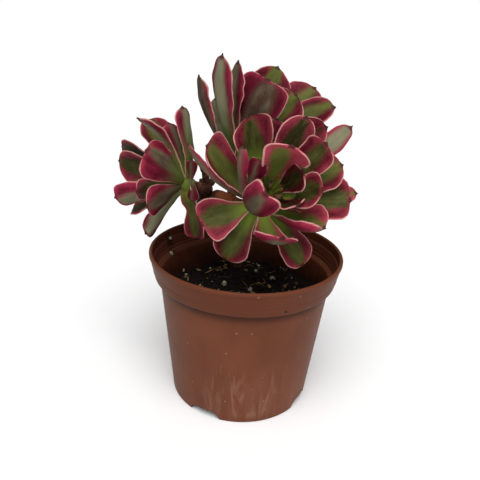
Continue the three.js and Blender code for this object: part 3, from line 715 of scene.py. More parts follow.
def cutter_from(outline, depth):
    """A prism over an outline in x and z that reaches from y = 0 to y = depth."""
    shape = bmesh.new()
    face = shape.faces.new([shape.verts.new((point.x, 0, point.y)) for point in outline])
    made = bmesh.ops.extrude_face_region(shape, geom=[face], use_keep_orig=True)["geom"]
    for part in made:
        if isinstance(part, bmesh.types.BMVert):
            part.co.y = depth
    bmesh.ops.recalc_face_normals(shape, faces=shape.faces)
    return shape


def loose_object(name, shape):
    mesh = bpy.data.meshes.new(name)
    shape.to_mesh(mesh)
    shape.free()
    made = bpy.data.objects.new(name, mesh)
    bpy.context.collection.objects.link(made)
    return made


def cut(shape, cutters):
    """Takes the cutters away from a shape and returns what is left."""
    body = loose_object("body", shape)
    tool_shape = bmesh.new()
    for cutter in cutters:
        mesh = bpy.data.meshes.new("cutter")
        cutter.to_mesh(mesh)
        cutter.free()
        tool_shape.from_mesh(mesh)
        bpy.data.meshes.remove(mesh)
    tool = loose_object("tool", tool_shape)
    taken = body.modifiers.new("cut", "BOOLEAN")
    taken.operation = "DIFFERENCE"
    taken.solver = "EXACT"
    taken.object = tool
    result = body.evaluated_get(bpy.context.evaluated_depsgraph_get())
    left = bmesh.new()
    left.from_mesh(result.to_mesh())
    result.to_mesh_clear()
    for used in (body, tool):
        mesh = used.data
        bpy.data.objects.remove(used)
        bpy.data.meshes.remove(mesh)
    return left


def pot_body():
    """The whole wall and floor, turned from their section, with low rings inside the band."""
    section = rounded(
        [
            (0, FLOOR_BOTTOM, 0),
            (BASE_RADIUS - 3.4, FLOOR_BOTTOM, 0.4),
            (BASE_RADIUS - 2.4, FLOOR_BOTTOM - 1, 0.4),
            (BASE_RADIUS - 2.2, 0, 0.4),
            (BASE_RADIUS - 0.2, 0, 0.7),
            (BODY_TOP_RADIUS, BODY_TOP_HEIGHT, 0.9),
            (BODY_TOP_RADIUS + 0.9, BAND_FOOT_HEIGHT, 0.5),
            (BAND_FOOT_RADIUS, BAND_FOOT_HEIGHT + 0.4, 1.1),
            (LIP_RADIUS - 0.6, POT_HEIGHT - 3.2, 0.5),
            (LIP_RADIUS - 0.55, POT_HEIGHT - 2.6, 0.4),
            (LIP_RADIUS, POT_HEIGHT - 2.1, 0.5),
            (LIP_RADIUS, POT_HEIGHT, 1),
            (LIP_RADIUS - 2.1, POT_HEIGHT, 0.9),
            (LIP_RADIUS - 2.4, POT_HEIGHT - 5.8, 0.5),
            (LIP_RADIUS - 3.1, POT_HEIGHT - 6.5, 0.5),
            (BAND_FOOT_RADIUS - 1.15, BAND_FOOT_HEIGHT + 2.5, 0.6),
            (inner_radius(BAND_FOOT_HEIGHT - 0.5) + 0.4, BAND_FOOT_HEIGHT + 1.1, 1),
            (inner_radius(BODY_TOP_HEIGHT - 2), BODY_TOP_HEIGHT - 2, 0.6),
            (inner_radius(FLOOR_TOP + 2), FLOOR_TOP + 2, 2),
            (inner_radius(FLOOR_TOP) - 2, FLOOR_TOP, 1),
            (0, FLOOR_TOP, 0),
        ]
    )
    shape = bmesh.new()
    verts = [shape.verts.new((point.x, 0, point.y)) for point in filled_in(section, 1.2)]
    edges = [shape.edges.new(pair) for pair in zip(verts, verts[1:])]
    bmesh.ops.spin(
        shape,
        geom=verts + edges,
        cent=(0, 0, 0),
        axis=(0, 0, 1),
        dvec=(0, 0, 0),
        angle=math.tau,
        steps=ROUND_STEPS,
        use_merge=True,
    )
    bmesh.ops.remove_doubles(shape, verts=shape.verts, dist=1e-3)
    bmesh.ops.recalc_face_normals(shape, faces=shape.faces)
    lowest, highest = BAND_FOOT_HEIGHT + 2, POT_HEIGHT - 6
    for vert in shape.verts:
        radius = math.hypot(vert.co.x, vert.co.y)
        if lowest < vert.co.z < highest and radius < LIP_RADIUS - 2:
            dip = RING_DEPTH * math.cos((vert.co.z - lowest) * math.tau / RING_STEP)
            vert.co.x *= 1 - dip / radius
            vert.co.y *= 1 - dip / radius
    return shape


def foot_cutters():
    """What is cut from the foot: the gaps in its ring and the drain holes in its floor."""
    half = GAP_WIDTH / 2
    shoulder = GAP_HEIGHT - 3.2
    gap = rounded(
        [
            (-half, -1, 0),
            (half, -1, 0),
            (half - 0.6, shoulder, 2),
            (half - 3.6, GAP_HEIGHT, 2),
            (3.6 - half, GAP_HEIGHT, 2),
            (0.6 - half, shoulder, 2),
        ]
    )
    cutters = []
    for k in range(GAP_COUNT):
        angle = math.radians(GAP_FIRST_ANGLE + 360 / GAP_COUNT * k)
        turn = Matrix.Rotation(angle - math.pi / 2, 4, "Z")
        notch = cutter_from(gap, GAP_CUT)
        notch.transform(turn @ Matrix.Translation((0, BASE_RADIUS + 4 - GAP_CUT, 0)))
        drain = bmesh.new()
        bmesh.ops.create_cone(
            drain,
            cap_ends=True,
            segments=40,
            radius1=DRAIN_RADIUS,
            radius2=DRAIN_RADIUS,
            depth=DRAIN_CUT,
        )
        floor_middle = (FLOOR_BOTTOM + FLOOR_TOP) / 2
        drain.transform(turn @ Matrix.Translation((0, DRAIN_CENTRE_RADIUS, floor_middle)))
        cutters += [notch, drain]
    return cutters


def make_pot():
    """The pot, each corner noted for its finish as inside or outside, and on the lip or not."""
    shape = cut(pot_body(), foot_cutters())
    wall = shape.verts.layers.float_color.new("wall")
    for vert in shape.verts:
        height = vert.co.z
        middle = inner_radius(height) + WALL / 2
        if height > BODY_TOP_HEIGHT:
            upward = smooth_step(height, BODY_TOP_HEIGHT, POT_HEIGHT - 2)
            middle = mix(BODY_TOP_RADIUS + 1.1, LIP_RADIUS - 1.4, upward)
        radius = math.hypot(vert.co.x, vert.co.y)
        lip = smooth_step(height, POT_HEIGHT - 2.4, POT_HEIGHT - 0.6)
        lip *= smooth_step(radius, LIP_RADIUS - 1.5, LIP_RADIUS - 0.4)
        vert[wall] = (smooth_step(middle - radius, -0.2, 0.2), lip, 0, 1)
    pot = make_piece("pot_shell", shape, pot_finish(), "pot", "pot")
    pot.data.set_sharp_from_angle(angle=math.radians(40))


# The soil and what lies in it


def soil_height(x, y):
    """Height of the soil's broad form, with the mound round the trunk."""
    away = math.hypot(x - TRUNK_FOOT[0], y - TRUNK_FOOT[1]) / MOUND_SPREAD
    mound = MOUND_HEIGHT * math.exp(-away * away * 0.5)
    ripple = 0.9 * math.sin(0.23 * x + 1.1) * math.cos(0.19 * y - 0.4)
    crumbs = 0.5 * math.sin(0.38 * x - 0.22 * y) + 0.4 * math.sin(0.31 * y + 0.27 * x + 2)
    return SOIL_LEVEL + mound + ripple + crumbs


def crumbly(x, y):
    """Height of the loose surface, with its crumbs and pits."""
    lumps = noise.noise(Vector((x * 0.35, y * 0.35, 3))) * 1.1
    crumbs = noise.noise(Vector((x * 0.9, y * 0.9, 7))) * 0.7
    grit = noise.noise(Vector((x * 2.1, y * 2.1, 11))) * 0.3
    return soil_height(x, y) + lumps + crumbs + grit


def next_ring(shape, edges, place):
    """Extrudes a ring of edges and moves each new corner to where place says."""
    made = bmesh.ops.extrude_edge_only(shape, edges=edges)["geom"]
    corners = [part for part in made if isinstance(part, bmesh.types.BMVert)]
    for corner in corners:
        corner.co = place(corner.co)
    known = set(corners)
    return [
        part
        for part in made
        if isinstance(part, bmesh.types.BMEdge) and part.verts[0] in known and part.verts[1] in known
    ]


def close_ring(shape, edges):
    bmesh.ops.holes_fill(shape, edges=edges, sides=0)


def make_soil():
    """The crumbly top, ring by ring toward its middle, then the side and the underneath."""
    edge_radius = inner_radius(SOIL_LEVEL) - 0.1
    shape = bmesh.new()
    bmesh.ops.create_circle(shape, cap_ends=False, radius=edge_radius, segments=ROUND_STEPS)
    for vert in shape.verts:
        vert.co.z = min(crumbly(vert.co.x, vert.co.y), SOIL_LEVEL + 1)
    rim = shape.edges[:]
    ring = rim
    before = edge_radius
    for k in range(1, SOIL_RINGS):
        radius = edge_radius * (1 - (k / SOIL_RINGS) ** 1.15)
        share = radius / before

        def inward(spot, share=share):
            x, y = spot.x * share, spot.y * share
            return Vector((x, y, crumbly(x, y)))

        ring = next_ring(shape, ring, inward)
        before = radius
    close_ring(shape, ring)
    sides = (
        (inner_radius(SOIL_LEVEL - 4) - 0.15, SOIL_LEVEL - 4),
        (inner_radius(FLOOR_TOP + 3) - 0.35, FLOOR_TOP + 3.4),
        (inner_radius(FLOOR_TOP) - 3, FLOOR_TOP + 0.35),
    )
    for radius, height in sides:

        def downward(spot, radius=radius, height=height):
            scale = radius / math.hypot(spot.x, spot.y)
            return Vector((spot.x * scale, spot.y * scale, height))

        rim = next_ring(shape, rim, downward)
    close_ring(shape, rim)
    bmesh.ops.recalc_face_normals(shape, faces=shape.faces)
    make_piece("soil_bed", shape, soil_finish(), "soil", "soil")


def add_lump(shape, spot, size, detail, roughness, turn=None):
    """One grain: a small ball, stretched by size and roughened."""
    made = bmesh.ops.create_icosphere(shape, subdivisions=detail, radius=1)["verts"]
    seed = rng.random() * 50
    spin = turn or Matrix.Rotation(rng.random() * math.tau, 3, any_axis())
    for vert in made:
        bump = 1 + roughness * noise.noise(vert.co * 1.6 + Vector((seed, 0, 0)))
        vert.co = spin @ Vector(part * long for part, long in zip(vert.co * bump, size)) + spot


def any_axis():
    """A random direction."""
    return Vector((rng.uniform(-1, 1), rng.uniform(-1, 1), rng.uniform(-1, 1))).normalized()


def on_soil(radius_share=1):
    """A random place on the soil, and its height."""
    radius = (inner_radius(SOIL_LEVEL) - 1.5) * math.sqrt(rng.random()) * radius_share
    angle = rng.random() * math.tau
    x, y = radius * math.cos(angle), radius * math.sin(angle)
    return Vector((x, y, crumbly(x, y)))


def make_crumbs():
    """Loose crumbs of the mix, most of them small."""
    shape = bmesh.new()
    for _ in range(CRUMB_COUNT):
        size = 0.35 + 1.1 * rng.random() ** 2.2
        spot = on_soil()
        spot.z += size * rng.uniform(-0.2, 0.6)
        sizes = (size, size * rng.uniform(0.6, 1), size * rng.uniform(0.5, 1))
        add_lump(shape, spot, sizes, 1, 0.5)
    make_piece("soil_crumbs", shape, soil_finish(), "soil")


# Larger grains of perlite on the soil: x, y and radius
PERLITE = (
    (-43, 28, 1.5), (-13, 11, 1.9), (4, 4, 1.7), (10, 42, 1.3), (19, 20, 1.8), (8, 30, 1.3),
    (-40, 23, 0.9), (-24, 33, 0.8), (30, 5, 0.8), (-18, -12, 1.8), (6, -26, 1.5), (24, -20, 1.7),
    (-34, -14, 1.4), (-4, -41, 1.6), (38, -8, 1.2), (-12, -32, 1.1), (33, 26, 0.7), (-27, 4, 0.8),
    (44, 12, 0.6),
)

# Two more grains, stuck to the inside of the pot: their places and radii
STUCK_PERLITE = (((-51.2, 25.1, 91.3), 1.3), ((-49.7, 20.1, 82.6), 1.2))

# Long fibres of coir that show in the photo: their points, x and y, and how thick they are
FIBRES = (
    ([(-27, 26), (-21, 31), (-14, 37)], 0.5),
    ([(-1, 33), (3, 36), (6, 34)], 0.35),
    ([(13, 36), (18, 34), (22, 36)], 0.3),
    ([(-20, 14), (-15, 20), (-8, 21)], 0.25),
    ([(8, 12), (14, 15), (13, 21)], 0.3),
)


def make_perlite():
    """The larger grains, the two on the wall, and dust."""
    shape = bmesh.new()
    for x, y, radius in PERLITE:
        spot = Vector((x, y, crumbly(x, y) + radius * 0.35))
        size = (radius, radius * rng.uniform(0.75, 1), radius * rng.uniform(0.7, 0.95))
        add_lump(shape, spot, size, 3, 0.45)
    for stuck, radius in STUCK_PERLITE:
        add_lump(shape, Vector(stuck), (radius, radius * 0.85, radius * 0.9), 3, 0.45)
    for _ in range(DUST_COUNT):
        spot = on_soil()
        radius = rng.uniform(0.25, 0.55)
        spot.z += radius * 0.4
        add_lump(shape, spot, (radius, radius * 0.8, radius * 0.8), 2, 0.4)
    make_piece("perlite", shape, perlite_finish(), "soil")


def smooth_path(points, step):
    """A soft curve through points, with a point about every step."""
    points = [Vector(point) for point in points]
    path = []
    for i in range(len(points) - 1):
        start, end = points[i], points[i + 1]
        before = points[i - 1] if i else start * 2 - end
        after = points[i + 2] if i + 2 < len(points) else end * 2 - start
        count = max(1, round((end - start).length / step))
        for k in range(count):
            t = k / count
            path.append(
                0.5
                * (
                    2 * start
                    + (end - before) * t
                    + (2 * before - 5 * start + 4 * end - after) * t**2
                    + (3 * start - before - 3 * end + after) * t**3
                )
            )
    path.append(points[-1])
    return path


def shape_edges(corners):
    """The edges that join these corners, each once."""
    return list(dict.fromkeys(edge for corner in corners for edge in corner.link_edges))


def grow_tube(shape, path, radius_at, sides):
    """A closed tube along a path. radius_at takes a share of the path and an angle round it.

    Gives back each corner with its share and its angle.
    """
    side = Vector((1, 0, 0))
    if abs((path[1] - path[0]).normalized().x) > 0.8:
        side = Vector((0, 1, 0))
    frames = []
    for i, centre in enumerate(path):
        heading = (path[min(i + 1, len(path) - 1)] - path[max(i - 1, 0)]).normalized()
        side = (side - heading * side.dot(heading)).normalized()
        frames.append((centre, side.copy(), heading.cross(side)))
    first = bmesh.ops.create_circle(shape, cap_ends=False, radius=1, segments=sides)["verts"]

    def around(number, angle):
        centre, across, other = frames[number]
        radius = radius_at(number / (len(path) - 1), angle)
        return centre + (across * math.cos(angle) + other * math.sin(angle)) * radius

    made = []

    def note(number, corners):
        centre, across, other = frames[number]
        for corner in corners:
            arm = corner.co - centre
            turn = math.atan2(arm.dot(other), arm.dot(across))
            made.append((corner, number / (len(path) - 1), turn))

    for vert in first:
        vert.co = around(0, math.atan2(vert.co.y, vert.co.x))
    note(0, first)
    ring = shape_edges(first)
    start_ring = ring
    for number in range(1, len(path)):
        centre, across, other = frames[number - 1]

        def step(spot, number=number, centre=centre, across=across, other=other):
            arm = spot - centre
            return around(number, math.atan2(arm.dot(other), arm.dot(across)))

        ring = next_ring(shape, ring, step)
        note(number, dict.fromkeys(vert for edge in ring for vert in edge.verts))
    close_ring(shape, start_ring)
    close_ring(shape, ring)
    return made


def make_litter():
    """Bark chips and coir fibres on the soil."""
    shape = bmesh.new()
    for _ in range(CHIP_COUNT):
        spot = on_soil()
        long = rng.uniform(0.9, 3.2)
        turn = Matrix.Rotation(rng.random() * math.tau, 3, "Z")
        turn = turn @ Matrix.Rotation(rng.uniform(-0.5, 0.5), 3, "X")
        spot.z += 0.3
        add_lump(shape, spot, (long, long * rng.uniform(0.3, 0.6), 0.3), 2, 0.6, turn)
    fibres = list(FIBRES)
    for _ in range(FIBRE_COUNT):
        start = on_soil(0.9)
        turn = rng.random() * math.tau
        points = []
        for k in range(4):
            reach = 2.2 * k
            points.append((start.x + reach * math.cos(turn), start.y + reach * math.sin(turn)))
            turn += rng.uniform(-0.7, 0.7)
        fibres.append((points, rng.uniform(0.17, 0.34)))
    limit = inner_radius(SOIL_LEVEL) - 1
    for points, thick in fibres:
        if any(math.hypot(x, y) > limit for x, y in points):
            continue
        lift = [0.4 + 0.5 * rng.random() for _ in points]
        path = smooth_path([(x, y, crumbly(x, y) + up) for (x, y), up in zip(points, lift)], 1)
        grow_tube(shape, path, lambda share, angle: thick * (1.05 - abs(share - 0.5)), 6)
    bmesh.ops.recalc_face_normals(shape, faces=shape.faces)
    make_piece("bark_and_fibre", shape, bark_finish(), "soil")


# The stems


def core_point(head, distance):
    """A place on the line that a head of leaves grows along."""
    return Vector(head["origin"]) + Vector(head["axis"]).normalized() * distance


def make_stems():
    """The woody limbs. Each has its points, its radii and how young its wood is at either end."""
    fork = (-27.3, 20, 116)
    foot_x, foot_y = TRUNK_FOOT
    front, upper, left = (HEADS[name] for name in ("front", "upper", "left"))
    trunk = [(foot_x, foot_y, 31), (foot_x, foot_y, 74), (-14, 33, 88), (-23, 26, 103), fork]
    to_front = [fork, (-20.9, 16, 125.9), (-11.7, 8, 126.2), core_point(front, -12)]
    to_upper = [(-11.3, 8, 126), (-10, 10.5, 136), core_point(upper, -12), core_point(upper, -3)]
    to_left = [(-25.5, 15.5, 129.8), core_point(left, -9), core_point(left, -3)]
    limbs = [
        (trunk, (4.6, 5.1, 5, 4.8, 4.4), (0, 0.3)),
        (to_front + [core_point(front, -3)], (4, 3.3, 3.2, 4.2, 3.4), (0.3, 0.9)),
        (to_upper, (2.6, 3.4, 4, 4.2), (0.5, 1)),
        # the knot above the fork
        ([fork, (-29.4, 19, 128.1), (-28.6, 18.5, 134.5)], (5.4, 5.2, 3.4), (0, 0.1)),
        (to_left, (3.4, 3.6, 3.4), (0.1, 0.8)),
        # a short stub and a dry twig
        ([(-27.5, 18, 131), (-25, 17, 134.1), (-22.3, 16, 133.3)], (3, 2.4, 1.6), (0.1, 0.2)),
        ([(-26.8, 17, 133.5), (-29.3, 14, 143), (-33.2, 10.5, 150)], (2.6, 1.7, 1.1), (0, 0.1)),
    ]
    shape = bmesh.new()
    wood = shape.verts.layers.float_color.new("wood")
    for points, radii, (old, young) in limbs:
        path = smooth_path(points, STEM_STEP)
        length = STEM_STEP * len(path)
        count = int(length / SCAR_STEP)
        scars = [(k * math.radians(GOLDEN_ANGLE), 2 + k * SCAR_STEP) for k in range(count)]
        seed = rng.random() * 40

        def scar_at(share, angle):
            """How far a spot is inside the lens-shaped scar of an old leaf, from 0 to 1."""
            best = 0
            for turn, rise in scars:
                off = share * length - rise
                if abs(off) < 1.6:
                    swing = abs((angle - turn + math.pi) % math.tau - math.pi)
                    lens = math.cos(min(1, swing / 1.1) * math.pi / 2) * 1.1
                    best = max(best, smooth_step(lens - abs(off), 0, 0.5))
            return best

        def radius_at(share, angle):
            spot = share * (len(radii) - 1)
            low = min(int(spot), len(radii) - 2)
            radius = mix(radii[low], radii[low + 1], smooth_step(spot - low, 0, 1))
            up = share * length * 0.3 + seed
            lumps = noise.noise(Vector((math.cos(angle), math.sin(angle), up)))
            return radius * (0.97 + 0.06 * lumps) + SCAR_HEIGHT * scar_at(share, angle)

        for vert, share, angle in grow_tube(shape, path, radius_at, 40):
            vert[wood] = (mix(old, young, share), scar_at(share, angle), 0, 1)
    bmesh.ops.recalc_face_normals(shape, faces=shape.faces)
    make_piece("woody_stems", shape, stem_finish(), "stem", "stems")


# The heads of leaves


def outline_at(values, v):
    """Half width of a blade at v, on a soft curve through the stations."""
    last = len(STATIONS) - 1
    i = next(k for k in range(1, last + 1) if v <= STATIONS[k] or k == last)
    low, high = STATIONS[i - 1], STATIONS[i]
    share = (v - low) / (high - low)

    def slope(k):
        if k in (0, last):
            return 0
        rise_before = (values[k] - values[k - 1]) / (STATIONS[k] - STATIONS[k - 1])
        rise_after = (values[k + 1] - values[k]) / (STATIONS[k + 1] - STATIONS[k])
        if rise_before * rise_after <= 0:
            return 0
        return 2 * rise_before * rise_after / (rise_before + rise_after)

    start, end = slope(i - 1) * (high - low), slope(i) * (high - low)
    return (
        values[i - 1] * (2 * share**3 - 3 * share**2 + 1)
        + start * (share**3 - 2 * share**2 + share)
        + values[i] * (3 * share**2 - 2 * share**3)
        + end * (share**3 - share**2)
    )


def leaf_blank(rows, columns):
    """A flat blank for a leaf: x -1 to 1 across, y 0 to 1 along, z 1 above and -1 beneath."""
    shape = bmesh.new()
    bmesh.ops.create_grid(shape, x_segments=columns, y_segments=rows, size=1)
    for vert in shape.verts:
        rest = (1 - vert.co.y) / 2
        vert.co = (math.sin(vert.co.x * math.pi / 2), 1 - rest**1.6, 1)
    made = bmesh.ops.extrude_face_region(shape, geom=shape.faces[:], use_keep_orig=True)["geom"]
    for part in made:
        if isinstance(part, bmesh.types.BMVert):
            part.co.z = -1
    bmesh.ops.recalc_face_normals(shape, faces=shape.faces)
    mesh = bpy.data.meshes.new("leaf_blank")
    shape.to_mesh(mesh)
    shape.free()
    return mesh


def depth_at(outline, x, y):
    """Distance from a spot of the flat blade, x aside and y along, to the outline near it."""
    near = [spot for spot in outline if abs(spot[1] - y) < OUTLINE_REACH]
    return min(math.hypot(x - edge_x, y - edge_y) for edge_x, edge_y in near)


class Blade:
    """One leaf: a narrow channelled foot that widens into a cupped blade."""

    def __init__(self, foot, axis, leaf):
        self.leaf = leaf
        self.foot = foot
        self.tip = Vector(leaf["tip"])
        span = self.tip - foot
        along = span.normalized()
        facing = Vector(leaf.get("face", axis))
        upward = (facing - along * facing.dot(along)).normalized()
        sideways = along.cross(upward)
        turn = math.radians(leaf["turn"])
        self.sideways = sideways * math.cos(turn) - upward * math.sin(turn)
        upward = upward * math.cos(turn) + sideways * math.sin(turn)
        bow_foot, bow_tip = leaf["bow"]
        sway = self.sideways * leaf["sway"]
        self.second = foot + span * 0.33 + upward * bow_foot + sway
        self.third = foot + span * 0.68 + upward * bow_tip + sway
        self.length = span.length * 1.04
        self.phase = 0.37 * (self.tip.x + self.tip.z)
        self.seed = Vector((self.tip.x * 0.7 + self.tip.z, self.tip.y, self.tip.z * 0.3))
        self.rows = {}
        shares = [k / OUTLINE_STEPS for k in range(4, OUTLINE_STEPS - 1)]
        self.outline = [(self.half_at(share), share * self.length) for share in shares]
        self.outline.append((0, 0.975 * self.length))

    def half_at(self, v):
        """Half the width of the blade at v."""
        broad = 1 + (self.leaf["base"] - 1) * (1 - smooth_step(v, 0.1, 0.5))
        pointed, blunt = outline_at(POINTED_OUTLINE, v), outline_at(BLUNT_OUTLINE, v)
        return self.leaf["wide"] / 2 * broad * mix(pointed, blunt, self.leaf["blunt"])

    def row(self, v):
        """The mid line at v, its upward side, the half width, the spread and the way ahead."""
        if v not in self.rows:
            rest = 1 - v
            middle = (
                self.foot * rest**3
                + self.second * 3 * rest**2 * v
                + self.third * 3 * rest * v**2
                + self.tip * v**3
            )
            heading = (
                (self.second - self.foot) * rest**2
                + (self.third - self.second) * 2 * rest * v
                + (self.tip - self.third) * v**2
            )
            normal = self.sideways.cross(heading).normalized()
            ahead = heading.normalized() * smooth_step(v, 0.4, 0.95)
            self.rows[v] = (middle, normal, self.half_at(v), smooth_step(v, 0, 0.45), ahead)
        return self.rows[v]

    def spot(self, u, v, above):
        """The point of the skin at u across and v along, on the upper or the under face."""
        middle, normal, half, spread, ahead = self.row(v)
        side = math.copysign(1, u)
        reach = abs(u)
        wobble = noise.noise(self.seed + Vector((side * 7, v * self.length * 0.11, 9)))
        half *= 1 + WIDTH_CHANGE * wobble * reach * spread
        bend = 2 * mix(FOOT_CHANNEL, self.leaf["cup"][0 if u < 0 else 1], spread)
        tilt = bend * reach
        if abs(bend) < 1e-3:
            across, lift = half * reach, 0
        else:
            across, lift = half * math.sin(tilt) / bend, half * (1 - math.cos(tilt)) / bend
        swing = math.sin(6.9 * v + self.phase + (2.1 if u < 0 else 0)) * min(1, v * 2.5)
        lift += self.leaf["wave"] * half * u * u * swing
        ruffle = noise.noise(self.seed + Vector((side * 3, v * self.length * 0.16, 0)))
        lift += RUFFLE_HEIGHT * ruffle * reach**4 * spread
        ripple = noise.noise(self.seed + Vector((u * half * 0.25, v * self.length * 0.07, 5)))
        lift += RIPPLE_HEIGHT * ripple * spread
        skin = normal * math.cos(tilt) - self.sideways * (side * math.sin(tilt))
        rib = mix(RIB_THICKNESS, BLADE_THICKNESS, spread)
        thick = mix(rib, EDGE_THICKNESS, u * u) * math.sqrt(1 - 0.82 * reach**12)
        thick *= mix(1, 0.5, smooth_step(v, 0.93, 1))
        groove = GROOVE_DEPTH * math.exp(-((u * half / GROOVE_HALF_WIDTH) ** 2))
        groove *= 1 - smooth_step(v, 0.75, 0.95)
        shift = thick / 2 - groove if above > 0 else -thick / 2 - 0.3 * groove
        sweep = ahead * (half * (self.leaf["slant"] * u + self.leaf["notch"] * u * u))
        return middle + self.sideways * (across * side) + normal * lift + skin * shift + sweep


def grow_leaf(shape, layers, blank, foot, axis, leaf):
    """Bends a blank to a leaf, and notes on each corner what leaf_finish reads."""
    blade = Blade(foot, axis, leaf)
    skin, tone, habit, place = layers
    first = len(shape.verts)
    shape.from_mesh(blank)
    shape.verts.ensure_lookup_table()
    chance = rng.random()
    band = leaf["wide"] / 2 * leaf["flush"]
    tones = (leaf["green"], band / KEPT_SPAN, leaf["pink"], 1)
    pointed = max(0, 1 - leaf["blunt"])
    habits = (pointed, leaf["bloom"], leaf["glow"], 0.5 + leaf["lean"] / KEPT_SPAN)
    rim = leaf.get("rim", mix(2, 1, smooth_step(leaf["wide"], 6, 18)))
    depths = {}
    for vert in shape.verts[first:]:
        u, v, above = vert.co
        half = blade.row(v)[2]
        key = (round(abs(u), 4), round(v, 5))
        if key not in depths:
            depths[key] = depth_at(blade.outline, abs(u) * half, v * blade.length)
        vert.co = blade.spot(u, v, above)
        inward = depths[key] * rim + (rim - 1) * 0.12
        vert[skin] = (v, inward / KEPT_SPAN, above * 0.5 + 0.5, 1)
        vert[tone] = tones
        vert[habit] = habits
        vert[place] = (u * half, v * blade.length, chance * 60)
    return blade


def young_leaves(head, axis):
    """Small leaves round the growing point, each a golden angle on from the last and longer."""
    across = Vector((0, 0, 1)).cross(axis).normalized()
    other = axis.cross(across)
    for k in range(YOUNG_COUNT):
        angle = math.radians(k * GOLDEN_ANGLE)
        opening = math.radians(14 + 5.5 * k)
        length = YOUNG_LENGTH + 1.5 * k
        radial = across * math.cos(angle) + other * math.sin(angle)
        foot = Vector(head["origin"]) + axis * (head["length"] - 1.5 - 0.7 * k) + radial
        tip = foot + axis * (length * math.cos(opening)) + radial * (length * math.sin(opening))
        form = dict(tip=tuple(tip), wide=YOUNG_WIDTH + 0.8 * k, bow=(-1, -1.5), cup=(0.7, 0.7))
        yield foot, USUAL_LEAF | form | dict(green=1.3, glow=4, flush=1, rim=6)


def hair_finish():
    """The pale hairs of the margins."""
    pale = colour(214, 176, 160)
    return Finish("leaf hairs", {"Base Color": pale, "Roughness": 0.6, "Specular IOR Level": 0.1})


def grow_hairs(shape, blade):
    """Fine hairs along both margins of a leaf: slim cones, sunk a little in, that lean to its tip.

    None grows past the box of the solids.
    """
    low, high = (spot * 1000 for spot in solid_box)
    count = int(blade.length * HAIRY_SHARE / HAIR_SPACING)
    for side in (-1, 1):
        for k in range(count):
            v = mix(HAIRY_FROM, HAIRY_TO, (k + hair_rng.random()) / count)
            root = (blade.spot(side, v, 1) + blade.spot(side, v, -1)) / 2
            inner = (blade.spot(side * 0.9, v, 1) + blade.spot(side * 0.9, v, -1)) / 2
            onward = blade.spot(side, v + 0.02, 1) - blade.spot(side, v, 1)
            heading = (root - inner).normalized() + onward.normalized() * hair_rng.uniform(0.1, 0.7)
            heading += blade.row(v)[1] * hair_rng.uniform(-0.4, 0.4)
            heading.normalize()
            long = HAIR_LENGTH * hair_rng.uniform(0.5, 1.2)
            end = (fit_to_frame @ (root + heading * long)) * 1000
            if any(end[axis] < low[axis] or end[axis] > high[axis] for axis in range(3)):
                continue
            stand = heading.to_track_quat("Z", "Y").to_matrix().to_4x4()
            bmesh.ops.create_cone(
                shape,
                cap_ends=True,
                segments=3,
                radius1=HAIR_THICKNESS / 2,
                radius2=0,
                depth=long,
                matrix=Matrix.Translation(root + heading * (long * 0.42)) @ stand,
            )


def make_head(name, leaves, blanks, finish, pale):
    """A short core with its grown and young leaves, and the hairs of the grown ones."""
    head = HEADS[name]
    blank, young_blank = blanks
    axis = Vector(head["axis"]).normalized()
    shape = bmesh.new()
    layers = [shape.verts.layers.float_color.new(key) for key in ("skin", "tone", "habit")]
    layers.append(shape.verts.layers.float_vector.new("blade"))
    length, radius = head["length"], head["radius"]
    stations = ((-CORE_ROOT, 3.4), (0, radius), (length * 0.6, radius * 0.75), (length, 1.6))

    def core_radius(share, angle):
        reach = share * (length + CORE_ROOT) - CORE_ROOT
        for (low, thick), (high, next_thick) in zip(stations, stations[1:]):
            if reach <= high:
                break
        here = mix(thick, next_thick, smooth_step(reach, low, high))
        return here * (1 + 0.05 * math.sin(reach * 3.1 + 2 * angle))

    count = int((length + CORE_ROOT) / CORE_STEP) + 1
    path = [core_point(head, -CORE_ROOT + k * CORE_STEP) for k in range(count)]
    for vert, share, angle in grow_tube(shape, path, core_radius, 32):
        vert[layers[0]] = (0.05, 0.25, 1, 1)
        vert[layers[1]] = (0.6, 0.2, 0.3, 1)
        vert[layers[2]] = (0, 0.5, 0.3, 0.5)
        vert[layers[3]] = (angle * 5, share * 25, 0)
    bmesh.ops.recalc_face_normals(shape, faces=shape.faces)
    hairs = bmesh.new()
    for row in leaves:
        leaf = USUAL_LEAF | row
        start = core_point(head, leaf["rise"])
        radial = Vector(leaf["tip"]) - start
        radial = (radial - axis * radial.dot(axis)).normalized()
        foot = Vector(leaf["foot"]) if "foot" in leaf else start + radial * (radius * 0.55)
        grow_hairs(hairs, grow_leaf(shape, layers, blank, foot, axis, leaf))
    for foot, leaf in young_leaves(head, axis):
        grow_leaf(shape, layers, young_blank, foot, axis, leaf)
    make_piece(f"{name}_head", shape, finish, "leaf", f"rosette_{name}")
    make_piece(f"{name}_hairs", hairs, pale, "leaf")


make_pot()
make_soil()
make_crumbs()
make_perlite()
make_litter()
make_stems()
skin_finish = leaf_finish()
pale_hairs = hair_finish()
blanks = (leaf_blank(40, 24), leaf_blank(18, 12))
for name, leaves in (("front", FRONT_LEAVES), ("upper", UPPER_LEAVES), ("left", LEFT_LEAVES)):
    make_head(name, leaves, blanks, skin_finish, pale_hairs)
for blank in blanks:
    bpy.data.meshes.remove(blank)


# The floor, the light and the camera


# In metres and degrees, but the aim is in millimetres in the pot's own place. The focal length is
# in pixels of a picture of the given width.
FLOOR_CLEARANCE = 0.0002
CAMERA_DISTANCE = 0.32
CAMERA_ELEVATION = 22.1
CAMERA_ROLL = 3
CAMERA_AIM = (-4.2, 0, 102.8)
FOCAL_PIXELS = 515.4
PICTURE_WIDTH = 480
SENSOR_WIDTH = 36


